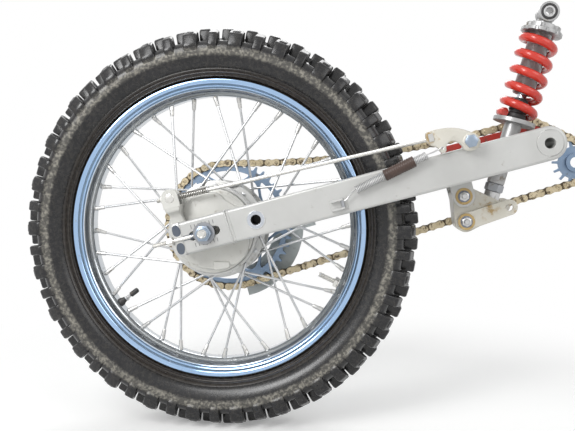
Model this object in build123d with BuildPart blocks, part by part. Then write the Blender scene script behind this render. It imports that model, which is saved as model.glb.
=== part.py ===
"""Rear end of a trail bike: knobby wheel, drum brake, swingarm, linkage, shock and chain.

Millimetres. The origin is the middle of the swingarm pivot bore, +X runs forward,
+Y to the bike's left and +Z up. The arm falls away to the rear, to the axle.
"""
import os
from math import acos, asin, atan2, cos, degrees, hypot, pi, radians, sin, sqrt

from build123d import *

# Swingarm
ARM_LENGTH = 468
ARM_DROOP = 14.8
ARM_HEIGHT = 45
ARM_WIDTH = 22
ARM_SPREAD = 87
ARM_BEND = 300
PIVOT_SPREAD = 63
PIVOT_TUBE_RADIUS = 17
PIVOT_BORE_RADIUS = 7
PIVOT_LENGTH = 152
BRIDGE_START = 318
BRIDGE_LENGTH = 42
STAND_HOLE_REACH = 73
STAND_RING_RADIUS = 12
STAND_BORE_RADIUS = 7

# Axle and its brackets
AXLE_RADIUS = 6
AXLE_END = 118
BRACKET_FRONT = 35
BRACKET_REAR = 40
BRACKET_HEIGHT = 45
SLOT_LENGTH = 44
END_CAP = 4
ADJUSTER_RADIUS = 3.5
ADJUSTER_REACH = 74
RUNNING_GAP = 0.05
SEAT_GAP = 0.3

# Wheel
TYRE_RADIUS = 290
TYRE_HALF_WIDTH = 47
CARCASS_RADIUS = 272
BEAD_RADIUS = 203.5
RIM_RADIUS = 217
RIM_HALF_WIDTH = 30
RIM_WELL_RADIUS = 193.5
RIM_WALL = 3
SPOKE_RADIUS = 1.75
NIPPLE_RADIUS = 3.1
NIPPLE_LENGTH = 15
NIPPLE_SPREAD = 4
SPOKES_PER_FAMILY = 9
SPOKE_LEAD = 40
FLANGE_RADIUS = 71
FLANGE_SPREAD = 22
FLANGE_THICKNESS = 4
FLANGE_ROOT = 56
FLANGE_DISH = 3.6
SPOKE_CIRCLE = 64.5

# Drum brake
DRUM_RADIUS = 64
DRUM_MOUTH = 51
DRUM_DEPTH = 18
PANEL_RADIUS = 59
PANEL_FACE = 58
PANEL_GAP = 1.5
CAM_REACH = 40
CAM_RISE = -4
CAM_RADIUS = 6

# Chain drive
PITCH = 12.7
WHEEL_TEETH = 48
DRIVE_TEETH = 14
CHAIN_SPREAD = 62
CHAIN_HALF_WIDTH = 7.5
CHAIN_INSIDE = 3.6
CHAIN_PLATE_HALF = 5.6
CHAIN_SAG_RADIUS = 1500
ROLLER_RADIUS = 4
TOOTH_RISE = 3.6
SPROCKET_THICKNESS = 5
SLIDER_THICKNESS = 10
DRIVE_X = 67.5
DRIVE_Z = -22.5
DRIVE_SHAFT_RADIUS = 8

# Linkage and shock, from the axle along and across the arm
ROCKER_ARM_PIN = (351, -42)
ROCKER_LINK_PIN = (345.8, -76.9)
ROCKER_SHOCK_PIN = (382.3, -67.9)
FRAME_LINK_PIN = (406.5, -72)
LINK_PIN_RADIUS = 5
LINK_EYE_RADIUS = 15
ROCKER_HALF_WIDTH = 23.5
CLEVIS_HALF_WIDTH = 12
PLATE_THICKNESS = 6
SHOCK_LEAN = 15.7
SHOCK_LENGTH = 280
SPRING_RADIUS = 28
SPRING_WIRE = 6
SPRING_START = 128
SPRING_END = 250
SPRING_TURNS = 5.5
SHAFT_RADIUS = 6.5
BODY_RADIUS = 15

# Slider under the chain and guard beside the sprocket
SLIDER_START = 345
SLIDER_INSIDE = 53
SLIDER_WRAP = 95
GUARD_RADIUS = 117
GUARD_INNER_RADIUS = 72
GUARD_THICKNESS = 2.5

# Brake lever, rod, crank and return spring on the right, from the axle along and across the arm
LEVER_SPREAD = 74
LEVER_THICKNESS = 3.5
FORK_HALF_WIDTH = 10
FORK_RADIUS = 12
ROD_PIN = (-38.6, 58.4)
ROD_PIN_RADIUS = 6.6
ROD_RADIUS = 2.8
ROD_OVERHANG = 16
ROD_SPRING_RADIUS = 4.5
ROD_SPRING_LENGTH = 48
CRANK_SPREAD = 99
CRANK_THICKNESS = 9
CRANK_PIVOT = (368.3, 28.2)
CRANK_PIN = (322, 44)
CRANK_BORE_RADIUS = 5
SPRING_LUG = (186, -8)
RETURN_SPRING_START = (212, 5)
RETURN_SPRING_END = (310, 25.4)
RETURN_SPRING_SPREAD = 106
RETURN_SPRING_RADIUS = 5.5
SLEEVE_RADIUS = 7.5
SLEEVE_START = 41
SLEEVE_LENGTH = 42

os.makedirs("parts", exist_ok=True)

droop = radians(ARM_DROOP)
wheel_x = -ARM_LENGTH * cos(droop)
wheel_z = -ARM_LENGTH * sin(droop)
wheel_axis = Axis((wheel_x, 0, wheel_z), (0, 1, 0))
half_height = ARM_HEIGHT / 2
half_width = ARM_WIDTH / 2
ON_END = (Align.CENTER, Align.CENTER, Align.MIN)


def on_arm(along, over):
    """X and Z of a point given by its reach from the axle and its height over the arm's middle."""
    x = wheel_x + along * cos(droop) - over * sin(droop)
    z = wheel_z + along * sin(droop) + over * cos(droop)
    return x, z


def across(x, z, y):
    """Plane at a point that faces left, so that bars and bores across the bike stand on it."""
    return Plane(origin=(x, y, z), x_dir=(1, 0, 0), z_dir=(0, 1, 0))


def upright(x, z, y):
    """Plane seen from the right, its own x forward and its own y up."""
    return Plane(origin=(x, y, z), x_dir=(1, 0, 0), z_dir=(0, -1, 0))


def arm_side(y):
    """Plane seen from the right at the axle, its own x along the arm and its own y across it."""
    return Plane(origin=(wheel_x, y, wheel_z), x_dir=(cos(droop), 0, sin(droop)), z_dir=(0, -1, 0))


def write(part, name):
    """Labels a finished piece and writes its STEP file."""
    part.label = name
    export_step(part, f"parts/{name}.step")


arm_plan = Plane(
    origin=(wheel_x, 0, wheel_z),
    x_dir=(cos(droop), 0, sin(droop)),
    z_dir=(-sin(droop), 0, cos(droop)),
)
wheel_section = Plane(origin=(wheel_x, 0, wheel_z), x_dir=(1, 0, 0), z_dir=(0, 0, 1))


def arm_inner(along):
    """Distance from the bike's middle to an arm's inner face, which closes in past the bend."""
    closing = max(0, along - ARM_BEND) / (ARM_LENGTH - ARM_BEND)
    return ARM_SPREAD - half_width - closing * (ARM_SPREAD - PIVOT_SPREAD)


# The two arms: box tubes from the axle brackets to the pivot, bent inwards near the front.
for side, name in ((-1, "arm_right"), (1, "arm_left")):
    arm_front = ARM_LENGTH + half_height
    plan_points = [
        (BRACKET_FRONT, side * arm_inner(BRACKET_FRONT)),
        (ARM_BEND, side * arm_inner(ARM_BEND)),
        (ARM_LENGTH, side * arm_inner(ARM_LENGTH)),
        (arm_front, side * arm_inner(ARM_LENGTH)),
        (arm_front, side * (arm_inner(ARM_LENGTH) + ARM_WIDTH)),
        (ARM_LENGTH, side * (arm_inner(ARM_LENGTH) + ARM_WIDTH)),
        (ARM_BEND, side * (arm_inner(ARM_BEND) + ARM_WIDTH)),
        (BRACKET_FRONT, side * (arm_inner(BRACKET_FRONT) + ARM_WIDTH)),
    ]
    with BuildPart() as arm:
        with BuildSketch(arm_plan):
            with BuildLine():
                Polyline(*plan_points, close=True)
            make_face()
        extrude(amount=half_height, both=True)
        with BuildSketch(arm_side(0)):
            with Locations((ARM_LENGTH / 2, 0)):
                Rectangle(ARM_LENGTH, ARM_HEIGHT)
            with Locations((ARM_LENGTH, 0)):
                Circle(half_height)
        extrude(amount=ARM_SPREAD * 2, both=True, mode=Mode.INTERSECT)
        with Locations(across(0, 0, -PIVOT_LENGTH)):
            Cylinder(PIVOT_TUBE_RADIUS, 2 * PIVOT_LENGTH, align=ON_END, mode=Mode.SUBTRACT)
        hole_x, hole_z = on_arm(STAND_HOLE_REACH, 0)
        with Locations(across(hole_x, hole_z, -2 * ARM_SPREAD)):
            Cylinder(STAND_RING_RADIUS, 4 * ARM_SPREAD, align=ON_END, mode=Mode.SUBTRACT)
    write(arm.part, name)

# Steel rings through both arms take a paddock stand.
with BuildPart() as stand_rings:
    for side in (-1, 1):
        hole_x, hole_z = on_arm(STAND_HOLE_REACH, 0)
        ring_length = ARM_WIDTH + 2
        with Locations(across(hole_x, hole_z, side * ARM_SPREAD - ring_length / 2)):
            Cylinder(STAND_RING_RADIUS, ring_length, align=ON_END)
            Cylinder(STAND_BORE_RADIUS, ring_length, align=ON_END, mode=Mode.SUBTRACT)
write(stand_rings.part, "stand_rings")

with BuildPart() as pivot_tube:
    with Locations(across(0, 0, -PIVOT_LENGTH / 2)):
        Cylinder(PIVOT_TUBE_RADIUS, PIVOT_LENGTH, align=ON_END)
        Cylinder(PIVOT_BORE_RADIUS, PIVOT_LENGTH, align=ON_END, mode=Mode.SUBTRACT)
write(pivot_tube.part, "pivot_tube")

# A box bridge joins the arms ahead of the tyre, with two ears below it for the rocker.
bridge_end = BRIDGE_START + BRIDGE_LENGTH
ear_inside = ROCKER_HALF_WIDTH + SEAT_GAP
with BuildPart() as bridge:
    with BuildSketch(arm_plan):
        with BuildLine():
            Polyline(
                (BRIDGE_START, -arm_inner(BRIDGE_START)),
                (bridge_end, -arm_inner(bridge_end)),
                (bridge_end, arm_inner(bridge_end)),
                (BRIDGE_START, arm_inner(BRIDGE_START)),
                close=True,
            )
        make_face()
    extrude(amount=half_height - 2, both=True)
    for ear_start in (ear_inside, -ear_inside - PLATE_THICKNESS):
        with BuildSketch(arm_side(ear_start)):
            with Locations(ROCKER_ARM_PIN):
                Circle(LINK_EYE_RADIUS)
            with Locations((ROCKER_ARM_PIN[0] - LINK_EYE_RADIUS, ROCKER_ARM_PIN[1])):
                Rectangle(2 * LINK_EYE_RADIUS, half_height, align=(Align.MIN, Align.MIN))
            with Locations(ROCKER_ARM_PIN):
                Circle(LINK_PIN_RADIUS, mode=Mode.SUBTRACT)
        extrude(amount=-PLATE_THICKNESS)
write(bridge.part, "bridge")

# Slotted ends carry the axle, and a cap closes each behind the adjuster.
for side, name in ((-1, "axle_bracket_right"), (1, "axle_bracket_left")):
    with BuildPart() as bracket:
        with BuildSketch(arm_side(side * ARM_SPREAD)):
            with Locations((-BRACKET_REAR, 0)):
                Rectangle(
                    BRACKET_REAR + BRACKET_FRONT,
                    BRACKET_HEIGHT,
                    align=(Align.MIN, Align.CENTER),
                )
            SlotOverall(SLOT_LENGTH, 2 * (AXLE_RADIUS + RUNNING_GAP), mode=Mode.SUBTRACT)
        extrude(amount=half_width, both=True)
    write(bracket.part, name)

with BuildPart() as end_caps:
    for side in (-1, 1):
        with BuildSketch(arm_side(side * ARM_SPREAD)):
            with Locations((-BRACKET_REAR - END_CAP, 0)):
                Rectangle(END_CAP, BRACKET_HEIGHT, align=(Align.MIN, Align.CENTER))
        extrude(amount=half_width + 1, both=True)
write(end_caps.part, "end_caps")

with BuildPart() as adjusters:
    for side in (-1, 1):
        with BuildSketch(
            Plane(
                origin=(*on_arm(-ADJUSTER_REACH, 0)[:1], side * ARM_SPREAD, on_arm(-ADJUSTER_REACH, 0)[1]),
                x_dir=(0, 1, 0),
                z_dir=(cos(droop), 0, sin(droop)),
            )
        ):
            Circle(ADJUSTER_RADIUS)
        extrude(amount=ADJUSTER_REACH - BRACKET_REAR - END_CAP)
write(adjusters.part, "adjusters")

with BuildPart() as axle:
    with Locations(across(wheel_x, wheel_z, -AXLE_END)):
        Cylinder(AXLE_RADIUS, 2 * AXLE_END, align=ON_END)
write(axle.part, "axle")

arm_outside = ARM_SPREAD + half_width
with BuildPart() as axle_nuts:
    for side in (-1, 1):
        washer_start = arm_outside if side > 0 else -arm_outside - 3
        nut_start = arm_outside + 3 if side > 0 else -arm_outside - 13
        with Locations(across(wheel_x, wheel_z, washer_start)):
            Cylinder(15, 3, align=ON_END)
        with BuildSketch(across(wheel_x, wheel_z, nut_start)):
            RegularPolygon(11, 6)
        extrude(amount=10)
    with Locations(across(wheel_x, wheel_z, -AXLE_END)):
        Cylinder(AXLE_RADIUS, 2 * AXLE_END, align=ON_END, mode=Mode.SUBTRACT)
write(axle_nuts.part, "axle_nuts")

# The wheel turns on the axle between two spacers.
bearing_right = PANEL_FACE + 12
bearing_left = 66
with BuildPart() as spacers:
    for start, end in ((-ARM_SPREAD + half_width, -bearing_right), (bearing_left, ARM_SPREAD - half_width)):
        low = min(start, end)
        with Locations(across(wheel_x, wheel_z, low)):
            Cylinder(11, abs(end - start), align=ON_END)
            Cylinder(AXLE_RADIUS, abs(end - start), align=ON_END, mode=Mode.SUBTRACT)
write(spacers.part, "spacers")

with BuildPart() as tyre:
    with BuildSketch(wheel_section):
        with BuildLine():
            Polyline(
                (BEAD_RADIUS, -24),
                (RIM_RADIUS + 1, -25),
                (232, -42),
                (252, -TYRE_HALF_WIDTH),
                (TYRE_RADIUS - 14, -TYRE_HALF_WIDTH),
                (TYRE_RADIUS, -20),
                (TYRE_RADIUS, 20),
                (TYRE_RADIUS - 14, TYRE_HALF_WIDTH),
                (252, TYRE_HALF_WIDTH),
                (232, 42),
                (RIM_RADIUS + 1, 25),
                (BEAD_RADIUS, 24),
                close=True,
            )
        make_face()
    revolve(axis=wheel_axis)
write(tyre.part, "tyre")

with BuildPart() as rim:
    with BuildSketch(wheel_section):
        with BuildLine():
            Polyline(
                (RIM_RADIUS, -RIM_HALF_WIDTH),
                (RIM_RADIUS - 8, -RIM_HALF_WIDTH),
                (BEAD_RADIUS - RIM_WALL, -22),
                (BEAD_RADIUS - RIM_WALL, -14),
                (RIM_WELL_RADIUS, -9),
                (RIM_WELL_RADIUS, 9),
                (BEAD_RADIUS - RIM_WALL, 14),
                (BEAD_RADIUS - RIM_WALL, 22),
                (RIM_RADIUS - 8, RIM_HALF_WIDTH),
                (RIM_RADIUS, RIM_HALF_WIDTH),
                (RIM_RADIUS, RIM_HALF_WIDTH - RIM_WALL),
                (BEAD_RADIUS, 24),
                (BEAD_RADIUS, 16),
                (RIM_WELL_RADIUS + RIM_WALL, 11),
                (RIM_WELL_RADIUS + RIM_WALL, -11),
                (BEAD_RADIUS, -16),
                (BEAD_RADIUS, -24),
                (RIM_RADIUS, -RIM_HALF_WIDTH + RIM_WALL),
                close=True,
            )
        make_face()
    revolve(axis=wheel_axis)
write(rim.part, "rim")

flange_outer = FLANGE_SPREAD + FLANGE_THICKNESS
carrier_face = CHAIN_SPREAD - SPROCKET_THICKNESS / 2
hub_bore = AXLE_RADIUS + RUNNING_GAP
with BuildPart() as hub:
    with BuildSketch(wheel_section):
        with BuildLine():
            Polyline(
                (hub_bore, -DRUM_MOUTH + DRUM_DEPTH),
                (PANEL_RADIUS + PANEL_GAP, -DRUM_MOUTH + DRUM_DEPTH),
                (PANEL_RADIUS + PANEL_GAP, -DRUM_MOUTH),
                (DRUM_RADIUS, -DRUM_MOUTH),
                (DRUM_RADIUS, -flange_outer - 5),
                (FLANGE_ROOT, -flange_outer),
                (FLANGE_RADIUS, -flange_outer + FLANGE_DISH),
                (FLANGE_RADIUS, -FLANGE_SPREAD + FLANGE_DISH),
                (FLANGE_ROOT, -FLANGE_SPREAD),
                (34, -6),
                (34, 8),
                (FLANGE_ROOT, FLANGE_SPREAD),
                (FLANGE_RADIUS, FLANGE_SPREAD - FLANGE_DISH),
                (FLANGE_RADIUS, flange_outer - FLANGE_DISH),
                (FLANGE_ROOT, flange_outer),
                (50, carrier_face),
                (24, carrier_face),
                (24, bearing_left),
                (hub_bore, bearing_left),
                close=True,
            )
        make_face()
    revolve(axis=wheel_axis)
write(hub.part, "hub")

# Spokes run from holes in the hub's flanges to nipples in the rim, each family of nine
# leaning forward or back. Columns: side, angle at the rim, lean, place on the flange's face.
SPOKE_FAMILIES = (
    (-1, 31.7, 1, 1),
    (-1, 11.7, -1, -1),
    (1, 21.7, 1, 1),
    (1, 1.7, -1, -1),
)
hole_dish = FLANGE_DISH * (SPOKE_CIRCLE - FLANGE_ROOT) / (FLANGE_RADIUS - FLANGE_ROOT)
flange_middle = FLANGE_SPREAD + FLANGE_THICKNESS / 2 - hole_dish
spoke_offset = FLANGE_THICKNESS / 2 + SPOKE_RADIUS + 2 * SEAT_GAP


def spoke_ends(side, rim_angle, lean, face):
    """The flange end and the rim end of a spoke, in the row's frame."""
    hub_angle = radians(rim_angle + lean * SPOKE_LEAD)
    angle = radians(rim_angle)
    start = Vector(
        wheel_x + SPOKE_CIRCLE * cos(hub_angle),
        side * (flange_middle + face * spoke_offset),
        wheel_z + SPOKE_CIRCLE * sin(hub_angle),
    )
    end = Vector(
        wheel_x + RIM_WELL_RADIUS * cos(angle),
        side * NIPPLE_SPREAD,
        wheel_z + RIM_WELL_RADIUS * sin(angle),
    )
    return start, end


for side, name in ((-1, "spokes_right"), (1, "spokes_left")):
    with BuildPart() as spokes:
        for family_side, rim_angle, lean, face in SPOKE_FAMILIES:
            if family_side != side:
                continue
            ends = [
                spoke_ends(side, rim_angle + turn * 360 / SPOKES_PER_FAMILY, lean, face)
                for turn in range(SPOKES_PER_FAMILY)
            ]
            spoke_length = (ends[0][1] - ends[0][0]).length - NIPPLE_LENGTH
            with Locations(*[Plane(origin=start, z_dir=end - start) for start, end in ends]):
                Cylinder(SPOKE_RADIUS, spoke_length, align=ON_END)
    write(spokes.part, name)

with BuildPart() as nipples:
    for side, rim_angle, lean, face in SPOKE_FAMILIES:
        feet = []
        for turn in range(SPOKES_PER_FAMILY):
            start, end = spoke_ends(side, rim_angle + turn * 360 / SPOKES_PER_FAMILY, lean, face)
            run = (end - start).normalized()
            feet.append(Plane(origin=end - run * NIPPLE_LENGTH, z_dir=run))
        with Locations(*feet):
            Cylinder(NIPPLE_RADIUS, NIPPLE_LENGTH + 3, align=ON_END)
    with Locations(across(wheel_x, wheel_z, -RIM_HALF_WIDTH)):
        Cylinder(RIM_WELL_RADIUS, 2 * RIM_HALF_WIDTH, align=ON_END, mode=Mode.INTERSECT)
write(nipples.part, "nipples")

# The valve and the rim lock stand inwards from the rim's well. Columns: node, angle, radius, length.
RIM_STUDS = (
    ("valve_stem", -143.4, 4, 34),
    ("rim_lock", -24.3, 4, 32),
)
for name, angle, radius, length in RIM_STUDS:
    out = Vector(cos(radians(angle)), 0, sin(radians(angle)))
    foot = Vector(wheel_x, 0, wheel_z) + out * (RIM_WELL_RADIUS - length)
    with BuildPart() as stud:
        with Locations(Plane(origin=foot, z_dir=out)):
            Cylinder(radius, length + 3, align=ON_END)
        with Locations(across(wheel_x, wheel_z, -RIM_HALF_WIDTH)):
            Cylinder(RIM_WELL_RADIUS, 2 * RIM_HALF_WIDTH, align=ON_END, mode=Mode.INTERSECT)
    write(stud.part, name)


def pitch_radius(teeth):
    """Radius of the chain's pin centres around a sprocket."""
    return PITCH / (2 * sin(pi / teeth))


def tooth_outline(teeth, gap_angle):
    """Corners of a sprocket with a gap at the given angle: two at each root, flank and tip."""
    radius = pitch_radius(teeth)
    # Columns: radius from the pitch circle, half of the gap's width there.
    gap_widths = ((-ROLLER_RADIUS - 0.5, 3.2), (0, ROLLER_RADIUS + 0.7), (TOOTH_RISE, 5.5))
    corners = []
    for tooth in range(teeth):
        middle = radians(gap_angle + tooth * 360 / teeth)
        for rise, half_gap in reversed(gap_widths):
            reach = radius + rise
            corners.append((reach * cos(middle - half_gap / reach), reach * sin(middle - half_gap / reach)))
        for rise, half_gap in gap_widths:
            reach = radius + rise
            corners.append((reach * cos(middle + half_gap / reach), reach * sin(middle + half_gap / reach)))
    return corners


# The chain's pitch line: over the wheel's sprocket, sagging to the slider, along it, round the
# pivot, over the drive sprocket and back. Angles are seen from the right, clockwise going forward.
wheel_pitch = pitch_radius(WHEEL_TEETH)
drive_pitch = pitch_radius(DRIVE_TEETH)
slider_lift = half_height + SLIDER_THICKNESS + CHAIN_PLATE_HALF + SEAT_GAP
sag_reach = sqrt((wheel_pitch + CHAIN_SAG_RADIUS) ** 2 - (slider_lift + CHAIN_SAG_RADIUS) ** 2)
sag_centre = on_arm(sag_reach, slider_lift + CHAIN_SAG_RADIUS)
sag_angle = degrees(atan2(sag_centre[1] - wheel_z, sag_centre[0] - wheel_x))
arm_normal = 90 + ARM_DROOP


def chain_arcs(drive_x):
    """The pitch line's arcs in order. Columns: centre, radius, first angle, sweep, pitches in it."""
    reach = hypot(drive_x, DRIVE_Z)
    leave_crown = degrees(atan2(DRIVE_Z, drive_x) + acos((slider_lift - drive_pitch) / reach))
    span = hypot(drive_x - wheel_x, DRIVE_Z - wheel_z)
    span_heading = atan2(DRIVE_Z - wheel_z, drive_x - wheel_x)
    leave_drive = degrees(span_heading - acos((wheel_pitch - drive_pitch) / span))
    sag_pitches = radians(arm_normal - sag_angle) * CHAIN_SAG_RADIUS / PITCH
    crown_pitches = radians(arm_normal - leave_crown) * slider_lift / PITCH
    return (
        ((wheel_x, wheel_z), wheel_pitch, 180, sag_angle - 180, (180 - sag_angle) * WHEEL_TEETH / 360),
        (sag_centre, CHAIN_SAG_RADIUS, sag_angle + 180, arm_normal - sag_angle, sag_pitches),
        ((0, 0), slider_lift, arm_normal, leave_crown - arm_normal, crown_pitches),
        (
            (drive_x, DRIVE_Z),
            drive_pitch,
            leave_crown,
            leave_drive - leave_crown,
            (leave_crown - leave_drive) * DRIVE_TEETH / 360,
        ),
        (
            (wheel_x, wheel_z),
            wheel_pitch,
            leave_drive + 360,
            -180 - leave_drive,
            (180 + leave_drive) * WHEEL_TEETH / 360,
        ),
    )


def arc_point(centre, radius, angle):
    """Point of a circle at an angle in degrees."""
    return centre[0] + radius * cos(radians(angle)), centre[1] + radius * sin(radians(angle))


def chain_length(drive_x):
    """Pitches in the whole loop, arcs and the straight runs between them."""
    arcs = chain_arcs(drive_x)
    total = 0
    for this, following in zip(arcs, arcs[1:] + arcs[:1]):
        leaves = arc_point(this[0], this[1], this[2] + this[3])
        arrives = arc_point(following[0], following[1], following[2])
        total += this[4] + hypot(arrives[0] - leaves[0], arrives[1] - leaves[1]) / PITCH
    return total


# The drive sprocket stands where the chain closes with an even number of links.
chain_links = 2 * round(chain_length(DRIVE_X) / 2)
nearest, furthest = DRIVE_X - 2 * PITCH, DRIVE_X + 2 * PITCH
while furthest - nearest > 1e-9:
    drive_x = (nearest + furthest) / 2
    if chain_length(drive_x) < chain_links:
        nearest = drive_x
    else:
        furthest = drive_x
loop_arcs = chain_arcs(drive_x)


def chain_pin(count):
    """Place of a chain pin, counted in pitches from the wheel sprocket's rearmost gap, and its angle."""
    for this, following in zip(loop_arcs, loop_arcs[1:] + loop_arcs[:1]):
        centre, radius, first, sweep, pitches = this
        if count <= pitches:
            angle = first + sweep * count / pitches
            return *arc_point(centre, radius, angle), angle
        count -= pitches
        leaves = arc_point(centre, radius, first + sweep)
        arrives = arc_point(following[0], following[1], following[2])
        pitches = hypot(arrives[0] - leaves[0], arrives[1] - leaves[1]) / PITCH
        if count <= pitches and pitches > 0:
            part = count / pitches
            x = leaves[0] + part * (arrives[0] - leaves[0])
            z = leaves[1] + part * (arrives[1] - leaves[1])
            return x, z, first + sweep
        count -= pitches
    return *arc_point((wheel_x, wheel_z), wheel_pitch, 180), 180


with BuildPart() as sprocket:
    with BuildSketch(upright(wheel_x, wheel_z, CHAIN_SPREAD - SPROCKET_THICKNESS / 2)):
        with BuildLine():
            Polyline(*tooth_outline(WHEEL_TEETH, 180), close=True)
        make_face()
        Circle(24, mode=Mode.SUBTRACT)
    extrude(amount=-SPROCKET_THICKNESS)
write(sprocket.part, "sprocket")

# On the drive sprocket the first pin past the crown sets where a gap is.
drive_gap = 0
for pin in range(chain_links):
    pin_x, pin_z, pin_angle = chain_pin(pin)
    if abs(hypot(pin_x - drive_x, pin_z - DRIVE_Z) - drive_pitch) < 1e-6 and pin_x > drive_x:
        drive_gap = pin_angle
        break
with BuildPart() as drive_sprocket:
    with BuildSketch(upright(drive_x, DRIVE_Z, CHAIN_SPREAD - SPROCKET_THICKNESS / 2)):
        with BuildLine():
            Polyline(*tooth_outline(DRIVE_TEETH, drive_gap), close=True)
        make_face()
    extrude(amount=-SPROCKET_THICKNESS)
    with Locations(across(drive_x, DRIVE_Z, CHAIN_SPREAD - 8)):
        Cylinder(14, 16, align=ON_END)
        Cylinder(DRIVE_SHAFT_RADIUS, 16, align=ON_END, mode=Mode.SUBTRACT)
write(drive_sprocket.part, "drive_sprocket")


def loop_outline(outset):
    """Corners and arcs of the chain's edge: the pitch line moved outwards, the sag arc inwards."""
    arcs = [arc for arc in loop_arcs[1:4]]
    wheel_arc = loop_arcs[4][:3] + (loop_arcs[4][3] + loop_arcs[0][3],)
    edges = []
    for centre, radius, first, sweep, *rest in [wheel_arc] + arcs:
        edge_radius = radius - outset if sweep > 0 else radius + outset
        edges.append((centre, edge_radius, first, sweep))
    return edges


with BuildPart() as chain:
    for start in (-CHAIN_HALF_WIDTH, CHAIN_INSIDE):
        with BuildSketch(upright(0, 0, CHAIN_SPREAD + start)):
            for outset, mode in ((CHAIN_PLATE_HALF, Mode.ADD), (-CHAIN_PLATE_HALF, Mode.SUBTRACT)):
                with BuildLine():
                    edges = loop_outline(outset)
                    for this, following in zip(edges, edges[1:] + edges[:1]):
                        CenterArc(this[0], this[1], this[2], this[3])
                        leaves = arc_point(this[0], this[1], this[2] + this[3])
                        arrives = arc_point(following[0], following[1], following[2])
                        if hypot(arrives[0] - leaves[0], arrives[1] - leaves[1]) > 0.01:
                            Line(leaves, arrives)
                make_face(mode=mode)
        extrude(amount=-(CHAIN_HALF_WIDTH - CHAIN_INSIDE))
    # Between the teeth the rollers are left out: the sprockets turn there and the chain stays.
    tooth_reach = TOOTH_RISE + ROLLER_RADIUS + SEAT_GAP
    free_pins = []
    for pin in range(chain_links):
        x, z, angle = chain_pin(pin)
        on_wheel = hypot(x - wheel_x, z - wheel_z) < wheel_pitch + tooth_reach
        on_drive = hypot(x - drive_x, z - DRIVE_Z) < drive_pitch + tooth_reach
        if not on_wheel and not on_drive:
            free_pins.append((x, z, angle))
    with BuildSketch(upright(0, 0, CHAIN_SPREAD - CHAIN_INSIDE)):
        with Locations(*[Location((x, z, 0), (0, 0, angle)) for x, z, angle in free_pins]):
            RegularPolygon(ROLLER_RADIUS, 6)
    extrude(amount=-2 * CHAIN_INSIDE)
write(chain.part, "chain")


# A moulded slider keeps the chain off the arm and wraps round the pivot.
slider_outside = PIVOT_SPREAD + half_width
slider_radius = half_height + SLIDER_THICKNESS
with BuildPart() as chain_slider:
    with BuildSketch(arm_side(SLIDER_INSIDE)):
        with Locations((SLIDER_START, half_height)):
            Rectangle(ARM_LENGTH - SLIDER_START, SLIDER_THICKNESS, align=(Align.MIN, Align.MIN))
    extrude(amount=SLIDER_INSIDE - slider_outside)
    with BuildSketch(arm_side(SLIDER_INSIDE)):
        with BuildLine():
            CenterArc((ARM_LENGTH, 0), slider_radius, 90, -SLIDER_WRAP)
            CenterArc((ARM_LENGTH, 0), half_height, 90, -SLIDER_WRAP)
            Line((ARM_LENGTH, slider_radius), (ARM_LENGTH, half_height))
            wrap_end = radians(90 - SLIDER_WRAP)
            Line(
                (ARM_LENGTH + slider_radius * cos(wrap_end), slider_radius * sin(wrap_end)),
                (ARM_LENGTH + half_height * cos(wrap_end), half_height * sin(wrap_end)),
            )
        make_face()
    extrude(amount=SLIDER_INSIDE - slider_outside)
write(chain_slider.part, "chain_slider")

guard_start = ARM_SPREAD - half_width - GUARD_THICKNESS
with BuildPart() as chain_guard:
    with BuildSketch(arm_side(guard_start)):
        Circle(GUARD_RADIUS)
        Circle(GUARD_INNER_RADIUS, mode=Mode.SUBTRACT)
        with BuildLine():
            Polyline((0, 0), (0, -GUARD_RADIUS), (2 * GUARD_RADIUS, -GUARD_RADIUS), (2 * GUARD_RADIUS, 0), close=True)
        make_face(mode=Mode.INTERSECT)
        with Locations((STAND_HOLE_REACH + STAND_RING_RADIUS + 3, 0)):
            Rectangle(44, half_height + 12, align=(Align.MIN, Align.MAX))
        with Locations((STAND_HOLE_REACH, 0)):
            Circle(STAND_RING_RADIUS + 2, mode=Mode.SUBTRACT)
    extrude(amount=-GUARD_THICKNESS)
write(chain_guard.part, "chain_guard")

# Drum brake cover, held by the axle and by a stop on the arm.
with BuildPart() as brake_panel:
    with BuildSketch(wheel_section):
        with BuildLine():
            Polyline(
                (AXLE_RADIUS, -bearing_right),
                (20, -bearing_right),
                (24, -PANEL_FACE - 2),
                (PANEL_RADIUS - 6, -PANEL_FACE),
                (PANEL_RADIUS, -PANEL_FACE + 3),
                (PANEL_RADIUS, -DRUM_MOUTH + 3),
                (AXLE_RADIUS, -DRUM_MOUTH + 3),
                close=True,
            )
        make_face()
    revolve(axis=wheel_axis)
    cam_x, cam_z = wheel_x - CAM_REACH, wheel_z + CAM_RISE
    with Locations(across(cam_x, cam_z, -PANEL_FACE - 5)):
        Cylinder(12, 8, align=ON_END)
    with Locations(across(cam_x, cam_z, -PANEL_FACE - 20)):
        Cylinder(CAM_RADIUS, 40, align=ON_END, mode=Mode.SUBTRACT)
write(brake_panel.part, "brake_panel")

lever_face = -LEVER_SPREAD + FORK_HALF_WIDTH
pin_x, pin_z = on_arm(*ROD_PIN)
with BuildPart() as brake_cam:
    with Locations(across(cam_x, cam_z, -LEVER_SPREAD)):
        Cylinder(CAM_RADIUS, LEVER_SPREAD - DRUM_MOUTH + 3, align=ON_END)
write(brake_cam.part, "brake_cam")

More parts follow.
